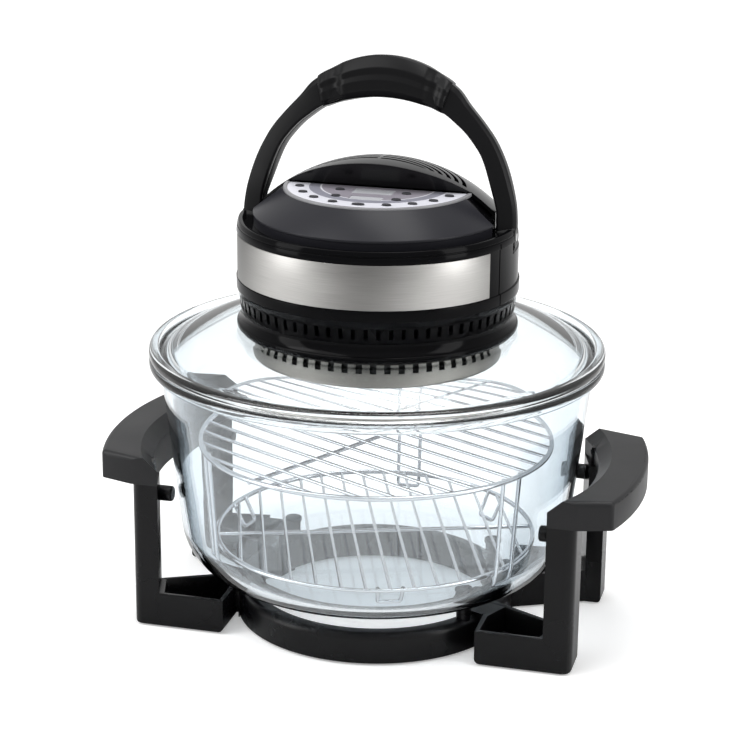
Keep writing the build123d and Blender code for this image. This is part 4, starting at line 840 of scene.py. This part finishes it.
# %% Drum
HEAD = 103.0
TOP_WALL = 101.2
DECK = 303.0
DECK_UNDER = 300.5
DRUM_TOP = 306.6
SEAT = 101.9
SEAT_LOW = 264.9
SEAT_HIGH = 297.7

drum_section = rounded([
    (101.4, WALL_TOP, 0.3), (HEAD, 257.0, 1.6), (HEAD, SEAT_LOW, 0.35), (SEAT, SEAT_LOW, 0.2), (SEAT, SEAT_HIGH, 0.2),
    (102.8, SEAT_HIGH, 0.35), (102.35, 302.2, 0.25), (101.75, 302.5, 0.1), (101.7, 303.1, 0.1), (102.15, 303.4, 0.25),
    (TOP_WALL, DRUM_TOP, 0.8), (WALL_INNER, DRUM_TOP, 0.8), (WALL_INNER, DECK, 0.4), (58.0, DECK, 0.4),
    (58.0, DECK_UNDER, 0.4), (WALL_INNER, DECK_UNDER, 0.4), (WALL_INNER, WALL_TOP, 0)], 4)
drum = turned("drum", drum_section, steps=240)


def sector_block(name, outer, inner, low, high, start, end, steps=16):
    """An annular block, used as a cutter."""
    return turned(name, [(inner, low), (outer, low), (outer, high), (inner, high)], start, end, steps)


POCKET_FRONT = 90 + degrees(asin(-9.8 / TOP_WALL))
POCKET_BACK = 90 + degrees(asin(46.0 / TOP_WALL))
POCKET_FLOOR = 289.0
for first, last in ((POCKET_FRONT, POCKET_BACK), (-POCKET_BACK, -POCKET_FRONT)):
    cut(drum, sector_block("pocket", 106, 87.0, POCKET_FLOOR, 312.0, first, last))
for seam in (-71.5, 71.5):
    cut(drum, sector_block("seam", 104, 101.2, 256.0, 301.6, seam - 0.35, seam + 0.35, 2))
tidy(drum, 30)
put(drum, "housing black", "lid", ("motor_housing",))
print("drum faces", len(drum.data.polygons))

# %% Linings of the pockets
# Each pocket is lined, so that nothing inside the drum shows when the arm has swung away
LINING_TOP = 301.5
LINING = [(86.2, 287.8), (98.0, 287.8), (98.0, POCKET_FLOOR), (87.4, POCKET_FLOOR), (87.4, LINING_TOP),
          (86.2, LINING_TOP)]
LINING_END = [(87.4, POCKET_FLOOR), (98.0, POCKET_FLOOR), (98.0, LINING_TOP), (87.4, LINING_TOP)]


def on_both_sides(name, section, first, last):
    """A black piece of the head between two angles on the right, and its twin on the left."""
    put(turned(name + "_right", section, first, last, 16), "housing black", "lid")
    put(turned(name + "_left", section, -last, -first, 16), "housing black", "lid")


on_both_sides("pocket_lining", LINING, 96.0, 117.4)
on_both_sides("pocket_end", LINING_END, 116.9, 117.7)
print("pockets from", round(POCKET_FRONT, 1), "to", round(POCKET_BACK, 1), "degrees")

# %% Flange
FLANGE_INNER = 91.0
flange_section = rounded([(FLANGE_INNER, 227.2, 0), (101.8, 227.2, 0.8), (102.8, 228.4, 0.8), (102.8, 230.8, 0.8),
                          (101.8, 231.8, 0.8)], 4)
flange_section += arc_through((101.8, 231.9), (99.4, 236.0), (99.0, FLOOR_BASE), 8) + [(FLANGE_INNER, FLOOR_BASE)]
put(turned("flange", flange_section, steps=200), "housing black", "lid", ("lower_flange",))
print("flange corners", len(flange_section))

# %% [markdown]
# ## Steel band
# A thin sheet of steel, brushed round the drum, bent round its front half. It stops short of the
# handle arms with square ends. A material on the drum could draw it, but a sheet of its own has a
# real edge that catches the light.

# %% Band
BAND_BACK = 101.95
BAND_FACE = 102.8
BAND_LOW = 265.2
BAND_HIGH = 297.4
band_section = rounded([(BAND_BACK, BAND_LOW, 0.2), (BAND_FACE, BAND_LOW, 0.3), (BAND_FACE, BAND_HIGH, 0.3),
                        (BAND_BACK, BAND_HIGH, 0.2)], 3)
put(turned("band", band_section, -66, 64, 120), "brushed band", "lid", ("steel_band",))
print("band made")

# %% [markdown]
# ## Dome, hood and skirt
# The rear half of the head's top is a shallow dome with nested, curved air slots on both sides of a
# middle rib. The shell is a plain round grid that Solidify makes a wall; each slot is a curved block
# that a Boolean takes out of it, because the slots follow the dome's leaning front and not its grid.
# That front is closed by a polished plate, the hood, and a grey cone leads down from the control panel.

# %% Dome
DOME_SPHERE = 125.0
DOME_TOP = 350.0
DOME_EDGE = 86.0
DOME_COLUMNS = 120
PANEL_TOP = 328.7
HOOD_BACK = -0.8
HOOD_BEND = PANEL_TOP + 1.1
HOOD_LEAN = radians(36)


def dome_height(radius):
    return DOME_TOP - DOME_SPHERE + sqrt(DOME_SPHERE**2 - radius**2)


angles = [2 * pi * column / DOME_COLUMNS for column in range(DOME_COLUMNS)]
radii = [4.0 * step for step in range(21)] + [83.0, 85.0, DOME_EDGE]
dome = lofted("dome", [[(r * cos(angle), r * sin(angle), dome_height(r)) for angle in angles] for r in radii],
              smooth=40, caps=False)
# The front is cut off upright beside the panel, and leaning forward over it
shape = bmesh.new()
shape.from_mesh(dome.data)
hood_foot = Vector((0, HOOD_BACK * MM, HOOD_BEND * MM))
front_normals = (Vector((0, -1, 0)), Vector((0, -cos(HOOD_LEAN), -sin(HOOD_LEAN))))
for normal in front_normals:
    bmesh.ops.bisect_plane(shape, geom=shape.verts[:] + shape.edges[:] + shape.faces[:], plane_co=hood_foot,
                           plane_no=normal)
before = [f for f in shape.faces if all((f.calc_center_median() - hood_foot).dot(n) > 0 for n in front_normals)]
bmesh.ops.delete(shape, geom=before, context="FACES")
shape.to_mesh(dome.data)
shape.free()
thickened(dome, 2.5, 40, even=True)
print("dome shell faces", len(dome.data.polygons))

# %% Air slots of the dome
SLOT_MIDDLE = -3.0       # where the nested half ellipses of the slots end, beside the ridge
SLOT_SIZES = ((34.0, 3.5), (40.0, 10.0), (46.0, 17.0), (52.0, 25.0), (57.5, 34.0), (63.0, 43.0))
SLOT_HALF = 1.6
RIB_HALF = 1.2
SLOT_END = radians(84)
SLOT_STEPS = 24


def slot_side(wide, deep):
    """One long side of a slot, from the middle rib round to the slot's outer end."""
    first = asin(RIB_HALF / wide)
    angles = [first + (SLOT_END - first) * step / SLOT_STEPS for step in range(SLOT_STEPS + 1)]
    return [(wide * sin(angle), SLOT_MIDDLE + deep * cos(angle)) for angle in angles]


for wide, deep in SLOT_SIZES:
    outline = slot_side(wide + SLOT_HALF, deep + SLOT_HALF) + slot_side(wide - SLOT_HALF, deep - SLOT_HALF)[::-1]
    for side in (1, -1):
        cut(dome, prism("slot", outline, DECK, DOME_TOP + 5, mirror=(side, 1)))
tidy(dome, 40)
put(dome, "cover black", "lid", ("top_cover",))
wall_section = [(85.9, DECK), (85.9, dome_height(85.9) + 0.1), (83.5, dome_height(83.5)), (83.5, DECK)]
put(turned("dome_wall", wall_section, 90.4, 269.6, 100), "cover black", "lid")
print("dome faces", len(dome.data.polygons), "top", round(max(v.co.z for v in dome.data.vertices), 4))

# %% Hood
def lens_outline(front, inset, steps=72):
    """Where a leaning plane through y = front at the bend meets the dome, drawn in by an inset."""
    rise = HOOD_BEND - (DOME_TOP - DOME_SPHERE)
    back_run = rise * cos(HOOD_LEAN) - front * sin(HOOD_LEAN)
    radius = sqrt(back_run**2 + DOME_SPHERE**2 - front**2 - rise**2) - inset
    widest = acos((back_run + inset) / radius)
    outline = []
    for step in range(steps + 1):
        angle = -widest + 2 * widest * step / steps
        up = radius * cos(angle) - back_run
        outline.append((radius * sin(angle), front - up * sin(HOOD_LEAN), HOOD_BEND + up * cos(HOOD_LEAN)))
    return outline


PLATE_RUN = 1.2 / cos(HOOD_LEAN)
hood_rings = [lens_outline(HOOD_BACK - share * PLATE_RUN, inset)
              for share, inset in ((0.0, 0.05), (0.7, 0.0), (0.9, 0.15), (1.0, 0.5))]
put(lofted("hood", hood_rings), "hood gloss", "lid", ("hood_plate",))
print("hood rings", len(hood_rings))

# %% Skirt
skirt_section = rounded([
    (69.2, 328.2, 0.3), (90.8, 311.4, 0.9), (90.8, 309.8, 0.3), (90.2, 309.4, 0.3), (90.2, DECK, 0), (88.3, DECK, 0),
    (88.3, 309.8, 0), (69.2, 325.0, 0)], 4)
put(turned("skirt", skirt_section, -77.5, 77.5, 120), "skirt grey", "lid", ("front_skirt",))
# Beside the arms a narrow cheek, set back a little, closes the gap between the skirt and the dome
CHEEK = [(66.4, 327.3), (85.3, 311.4), (85.3, DECK), (84.0, DECK), (84.0, 310.8), (66.4, 325.6)]
on_both_sides("cheek", CHEEK, 77.0, 90.8)
print("skirt and cheeks made")

# %% [markdown]
# ## Control panel
# The panel is a printed film behind a thin grey frame. Its print is drawn by the material: rings of
# tone by the distance from the head's axis, which stay sharp at any size. No words are printed.

# %% Panel print
PANEL_RADIUS = 0.066
RING_TONES = ((0.0, (0.30, 0.28, 0.32)), (0.62, (0.74, 0.74, 0.78)), (0.64, (0.27, 0.27, 0.32)),
              (0.76, (0.72, 0.72, 0.78)))
panel_print = finish("panel print", (0.6, 0.6, 0.62), Roughness=0.32)
tree = panel_print.node_tree
apart = split(tree, tree.nodes.new("ShaderNodeTexCoord").outputs["Object"])
squares = [math_node(tree, "POWER", apart[axis], 2.0) for axis in ("X", "Y")]
distance = math_node(tree, "SQRT", math_node(tree, "ADD", *squares))
rings = add_node(tree, "ShaderNodeValToRGB", {"Fac": math_node(tree, "DIVIDE", distance, PANEL_RADIUS)})
rings.color_ramp.interpolation = "CONSTANT"
for number, (start, colour) in enumerate(RING_TONES):
    stop = rings.color_ramp.elements[number] if number < 2 else rings.color_ramp.elements.new(start)
    stop.position = start
    stop.color = (*colour, 1)
feed(panel_print, Base_Color=rings.outputs["Color"])
dressed("control_panel", "panel print")
print("panel print:", len(RING_TONES), "rings")

# %% Bezel
frame_section = rounded([(66.0, 327.3, 0), (69.0, 327.3, 0), (69.0, 329.3, 0.6), (66.0, 329.3, 0.6)], 4)
reach = 90 - degrees(asin(2.4 / 67.5))
put(turned("bezel", frame_section, -reach, reach, 100), "bezel grey", "lid", ("panel_bezel",))
print("bezel reach", round(reach, 1))

# %% [markdown]
# ## Keys and displays
# Every key is a node of its own that moves, so the CAD solids stay and get a soft edge and a satin
# finish. The display windows are plain pale films.

# %% Keys and displays
keys = [name for name in frame["nodes"] if name.startswith("button_")]
for key in keys:
    dressed(key, "button dark", 0.25)
for window in ("display_upper", "display_lower"):
    dressed(window, "display film", 0.2)
print(len(keys), "keys and the displays dressed")

# %% [markdown]
# ## Carry handle
# The handle is a tall arch in two mouldings with a thicker soft grip on top. The arch is a loft:
# rounded rectangles that follow an outer and an inner curve, with a fine groove where the two
# mouldings meet. The grip is a second loft, with a crease along its sides, a thumb hollow before
# each end, and rounded ends. A curve with a bevel profile could follow the arch, but its arms change
# in depth on the way up, so each ring of points is worked out.

# %% Handle curves
PIVOT_HEIGHT = 299.0
HANDLE_LEAN = radians(10)
ARCH_OUTSIDE = ((102.0, 0.0), (101.4, 14.0), (99.0, 28.0), (92.5, 48.5), (83.8, 66.0), (74.0, 79.0), (63.0, 91.2),
                (51.5, 104.2), (30.0, 114.0), (0.0, 119.5))
ARCH_INSIDE = ((88.0, 0.0), (87.4, 12.0), (86.2, 22.0), (76.6, 51.0), (68.0, 64.8), (56.5, 76.4), (38.0, 88.0),
               (0.0, 98.0))


def in_handle(x, depth, rise):
    """A point of the leaning handle: across, behind its middle plane and above its pivots."""
    return (x, rise * sin(HANDLE_LEAN) + depth * cos(HANDLE_LEAN),
            PIVOT_HEIGHT + rise * cos(HANDLE_LEAN) - depth * sin(HANDLE_LEAN))


def smooth_line(points, count):
    """Evenly spaced points on a smooth curve through the given points (Catmull-Rom, mirrored at x = 0)."""
    mirror = [(-x, z) for x, z in reversed(points[:-1])]
    knots = [Vector(p) for p in list(points) + mirror]
    knots = [2 * knots[0] - knots[1]] + knots + [2 * knots[-1] - knots[-2]]
    fine = []
    for index in range(1, len(knots) - 2):
        p0, p1, p2, p3 = knots[index - 1:index + 3]
        for step in range(12):
            t = step / 12
            fine.append(0.5 * (2 * p1 + (p2 - p0) * t + (2 * p0 - 5 * p1 + 4 * p2 - p3) * t**2
                               + (3 * p1 - p0 - 3 * p2 + p3) * t**3))
    fine.append(knots[-2])
    lengths = [0.0]
    for first, second in zip(fine, fine[1:]):
        lengths.append(lengths[-1] + (second - first).length)
    spaced, seek = [], 0
    for step in range(count + 1):
        target = lengths[-1] * step / count
        while seek < len(lengths) - 2 and lengths[seek + 1] < target:
            seek += 1
        run = lengths[seek + 1] - lengths[seek]
        spaced.append(fine[seek].lerp(fine[seek + 1], (target - lengths[seek]) / run if run else 0))
    return spaced


print("handle curves ready")

# %% Arch
ARCH_STEPS = 96
ARM_WIDTH = 14.0
# Across the section: the first number runs from the inner face (0) to the outer face (14), the second
# is the depth. The front and rear mouldings slope towards the outer face and meet in a groove inside.
ARM_SECTION = rounded([(0.0, -9.4, 0.9), (1.3, -10.2, 0.8), (11.5, -7.4, 0.6), (14.0, -4.8, 1.8), (14.0, 4.8, 1.8),
                       (11.5, 7.4, 0.6), (1.3, 10.2, 0.8), (0.0, 9.4, 0.9), (0.0, -3.0, 0.2), (1.0, -3.2, 0.2),
                       (1.0, -4.4, 0.2), (0.0, -4.6, 0.2)], 4)
SLIM_TO = 14.0           # up to this height over the pivots the arms are slim enough for their pockets
FULL_FROM = 44.0
SLIM_SHARE = 0.70


def arm_depth(rise):
    """Share of the full depth of the arm."""
    share = min(max((rise - SLIM_TO) / (FULL_FROM - SLIM_TO), 0.0), 1.0)
    return SLIM_SHARE + (1 - SLIM_SHARE) * share * share * (3 - 2 * share)


arch_rings = []
for outer, inner in zip(smooth_line(ARCH_OUTSIDE, ARCH_STEPS), smooth_line(ARCH_INSIDE, ARCH_STEPS)):
    across = (outer - inner) / ARM_WIDTH
    deep = arm_depth(outer.y)
    arch_rings.append([in_handle(inner.x + across.x * s, y * deep, inner.y + across.y * s) for s, y in ARM_SECTION])
arch = lofted("arch", arch_rings, smooth=30)
put(arch, "grip black", "carry_handle", ("handle_arch",))
print("arch faces", len(arch.data.polygons))

# %% Eyes round the pivot pins
EYE_MIDDLE = 95.0
EYE_STEPS = 40
eye_section = rounded([(3.06, -6.9, 0.3), (8.0, -6.9, 0.8), (8.0, 6.9, 0.8), (3.06, 6.9, 0.3)], 3)
turns = [2 * pi * step / EYE_STEPS for step in range(EYE_STEPS)]
for side, name in ((1, "eye_right"), (-1, "eye_left")):
    eye_rings = [[(side * EYE_MIDDLE + along, r * cos(turn), PIVOT_HEIGHT + r * sin(turn)) for r, along in eye_section]
                 for turn in turns]
    put(lofted(name, eye_rings, True), "grip black", "carry_handle")
print("eyes at x =", EYE_MIDDLE, "mm")

# %% Grip
GRIP_HALF_TOP = 50.0
GRIP_HALF_LOW = 44.0
GRIP_TOP = 124.0
GRIP_LOW = 93.5
GRIP_THICK = 30.5
GRIP_STEPS = 64
TOP_DROOP = 17.5         # how far the grip's ends lie below its middle, at the top and underneath
LOW_DROOP = 9.0
HOLLOW_AT = 0.78
HOLLOW_DEPTH = 3.4


def grip_ring(share, outline):
    """One section of the grip: share runs from -1 to 1 along it, the outline is (height 0..1, depth)."""
    top = GRIP_TOP - TOP_DROOP * share**2
    low = GRIP_LOW - LOW_DROOP * share**2
    return [in_handle(share * (GRIP_HALF_LOW + (GRIP_HALF_TOP - GRIP_HALF_LOW) * height), depth,
                      low + (top - low) * height) for height, depth in outline]


def grip_outline(swell, scoop):
    """Section of the grip: full shoulders over and under a soft crease, and a crowned top."""
    corners = [(0.0, -8.5), (0.0, 8.5), (5.0, 12.0), (12.0, 13.0), (16.5, 11.6), (21.0, 12.2), (GRIP_THICK, 6.0)]
    corners += [(height, -depth) for height, depth in reversed(corners[2:])]
    narrowed = [(height, depth * swell - (scoop if depth > 0 else -scoop), 3.0) for height, depth in corners]
    return [(height / GRIP_THICK, depth) for height, depth in rounded(narrowed, 5)]


grip_rings = []
for step in range(GRIP_STEPS + 1):
    share = -1 + 2 * step / GRIP_STEPS
    # A thumb hollow lies before each end, and the last millimetres are rounded off
    hollow = HOLLOW_DEPTH * max(0.0, 1 - ((abs(share) - HOLLOW_AT) / 0.15) ** 2) ** 1.5
    end_round = 0.88 + 0.12 * sqrt(max(0.0, 1 - max(0.0, (abs(share) - 0.96) / 0.04) ** 2))
    grip_rings.append(grip_ring(share, grip_outline(end_round, hollow)))
grip = lofted("grip", grip_rings, smooth=50)
bevelled(grip, 0.8, 3, 50)
put(grip, "grip black", "carry_handle", ("handle_grip",))
print("grip faces", len(grip.data.polygons))

# %% [markdown]
# ## Wire racks
# A rack is a plated wire rim with parallel wires from rim to rim. A node tree makes the parallel wires:
# a line of points across the rack, a thin rod on each point, and a length that follows the circle.
# The rim, the cross wire below and the three feet are lofts along a line, because a loft closes on
# itself and gives a clean mesh at once.

# %% Rack wires
rack_wires, given, made = new_tree("GeometryNodeTree", "rack wires", (
    ("Geometry", "Geometry", None), ("Radius", "Float", 0.13), ("Pitch", "Float", 0.017), ("Wire", "Float", 0.0012),
    ("Count", "Int", 13), ("Level", "Float", 0.14), ("Turn", "Float", 1.0), ("Finish", "Material", None)),
    (("Geometry", "Geometry"),))
tree = rack_wires
span = math_node(tree, "MULTIPLY", math_node(tree, "SUBTRACT", given["Count"], 1), given["Pitch"])
line = add_node(tree, "GeometryNodeMeshLine", {
    "Count": given["Count"], "Offset": combine(tree, X=given["Pitch"]),
    "Start Location": combine(tree, X=math_node(tree, "MULTIPLY", span, -0.5), Z=given["Level"])})
rod = add_node(tree, "GeometryNodeMeshCylinder", {"Vertices": 12, "Depth": 1.0, "Radius": given["Wire"]})
place = split(tree, tree.nodes.new("GeometryNodeInputPosition").outputs[0])
inside = math_node(tree, "SUBTRACT", math_node(tree, "POWER", given["Radius"], 2.0),
                   math_node(tree, "POWER", math_node(tree, "ABSOLUTE", place["X"]), 2.0))
length = math_node(tree, "MULTIPLY", math_node(tree, "SQRT", inside), 2.0)
rods = add_node(tree, "GeometryNodeInstanceOnPoints", {
    "Points": line.outputs["Mesh"], "Instance": rod.outputs["Mesh"], "Rotation": (pi / 2, 0, 0),
    "Scale": combine(tree, X=1.0, Y=1.0, Z=length)})
turned_rods = add_node(tree, "GeometryNodeTransform", {
    "Geometry": rods.outputs[0], "Rotation": combine(tree, Z=given["Turn"])})
both = tree.nodes.new("GeometryNodeJoinGeometry")
for part in (turned_rods.outputs[0], given["Geometry"]):
    tree.links.new(part, both.inputs[0])
end_tree(tree, both.outputs[0], given, made, merge=False)
print("tree:", rack_wires.name)

# %% Wires along a line
def wire(name, line_points, radius, closed=False, sides=12):
    """A round wire along points, turning each ring with the line."""
    rings = []
    count = len(line_points)
    turns = [2 * pi * k / sides for k in range(sides)]
    for index, point in enumerate(line_points):
        before = Vector(line_points[index - 1]) if index or closed else Vector(point)
        after = Vector(line_points[(index + 1) % count]) if index < count - 1 or closed else Vector(point)
        ahead = (after - before).normalized()
        side = ahead.cross(Vector((0, 0, 1)))
        side = side.normalized() if side.length > 0.05 else Vector((1, 0, 0))
        over = side.cross(ahead).normalized()
        rings.append([tuple(Vector(point) + radius * (cos(turn) * side + sin(turn) * over)) for turn in turns])
    return lofted(name, rings, closed, 60)


def joined(first, *others):
    """One mesh from several pieces."""
    shape = bmesh.new()
    shape.from_mesh(first.data)
    for other in others:
        shape.from_mesh(other.data)
        bpy.data.objects.remove(other)
    shape.to_mesh(first.data)
    shape.free()
    return first


print("wire helpers ready")

# %% Racks
RIM_WIRE = 1.85
FOOT_WIRE = 1.5
ROD_WIRE = 1.2
CROSS_DROP = 2.25
FOOT_BEND = 3.0
PITCH = 17.0


def foot_path(angle, radius, level, foot_radius, foot_level):
    """The line of one foot: down from the rim, a short run with rounded corners, and up again."""
    spread = 9 / radius
    top, low = (radius - FOOT_WIRE, level + FOOT_WIRE), (foot_radius, foot_level)
    corners = [Vector((r * cos(a), r * sin(a), z)) for (r, z), a in (
        (top, angle - spread), (low, angle - spread), (low, angle + spread), (top, angle + spread))]
    path = [tuple(corners[0])]
    for first, here, last in zip(corners, corners[1:], corners[2:]):
        a = here + (first - here).normalized() * FOOT_BEND
        b = here + (last - here).normalized() * FOOT_BEND
        for k in range(6):
            t = k / 5
            path.append(tuple(a * (1 - t) ** 2 + here * 2 * t * (1 - t) + b * t**2))
    return path + [tuple(corners[3])]


def rack(name, node, body, radius, level, foot_radius, turn):
    """A round rack; its feet reach as low as those of the CAD node."""
    turns = [2 * pi * k / 120 for k in range(120)]
    rim = wire(name, [(radius * cos(a), radius * sin(a), level) for a in turns], RIM_WIRE, True)
    cross_end = Vector((cos(radians(turn)), sin(radians(turn)), 0)) * (radius - 0.2)
    lift = Vector((0, 0, level - CROSS_DROP))
    cross = wire("cross", [tuple(lift - cross_end), tuple(lift), tuple(lift + cross_end)], FOOT_WIRE)
    foot_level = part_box(node)[0].z / MM + FOOT_WIRE
    feet = [wire("foot", foot_path(radians(turn + 30 + leg * 120), radius, level, foot_radius, foot_level), FOOT_WIRE)
            for leg in range(3)]
    piece = joined(rim, cross, *feet)
    grown(piece, rack_wires, Radius=(radius - 0.5) * MM, Pitch=PITCH * MM, Wire=ROD_WIRE * MM,
          Count=2 * int(radius / PITCH) + 1, Level=level * MM, Turn=radians(turn), Finish=finishes["plated wire"])
    tidy(piece, 60, 0.000001)
    put(piece, "plated wire", body, (node,))


rack("upper_rack_wires", "high_rack", "upper_rack", 131.0, 140.0, 123.0, 62)
rack("lower_rack_wires", "low_rack", "lower_rack", 119.0, 66.0, 108.0, 20)
print("racks made")

# %% [markdown]
# ## Pieces that keep their CAD shape
# The small and hidden pieces are right as they are. Each gets its own finish, so that the head is
# complete when the guard is seen from below.

# %% Other nodes
CAD_FINISHES = {
    "rubber_feet": "soft rubber", "stand_screws": "plated screw", "lid_gasket": "soft rubber",
    "cable_gland": "soft rubber", "switch_board": "circuit board", "power_board": "circuit board",
    "pin_brackets": "zinc sheet", "handle_pins": "plated screw", "guard_grille": "plated wire",
    "halogen_tube": "quartz", "tube_caps": "white ceramic", "reflector": "bright aluminium",
    "insulation_plate": "fibre board", "motor": "motor case", "motor_bracket": "zinc sheet",
    "motor_shaft": "plated screw", "convection_fan": "bright aluminium", "cooling_fan": "fan plastic",
    "housing_screws": "plated screw"}
for node, material in CAD_FINISHES.items():
    dressed(node, material)
print(len(CAD_FINISHES), "small pieces finished")
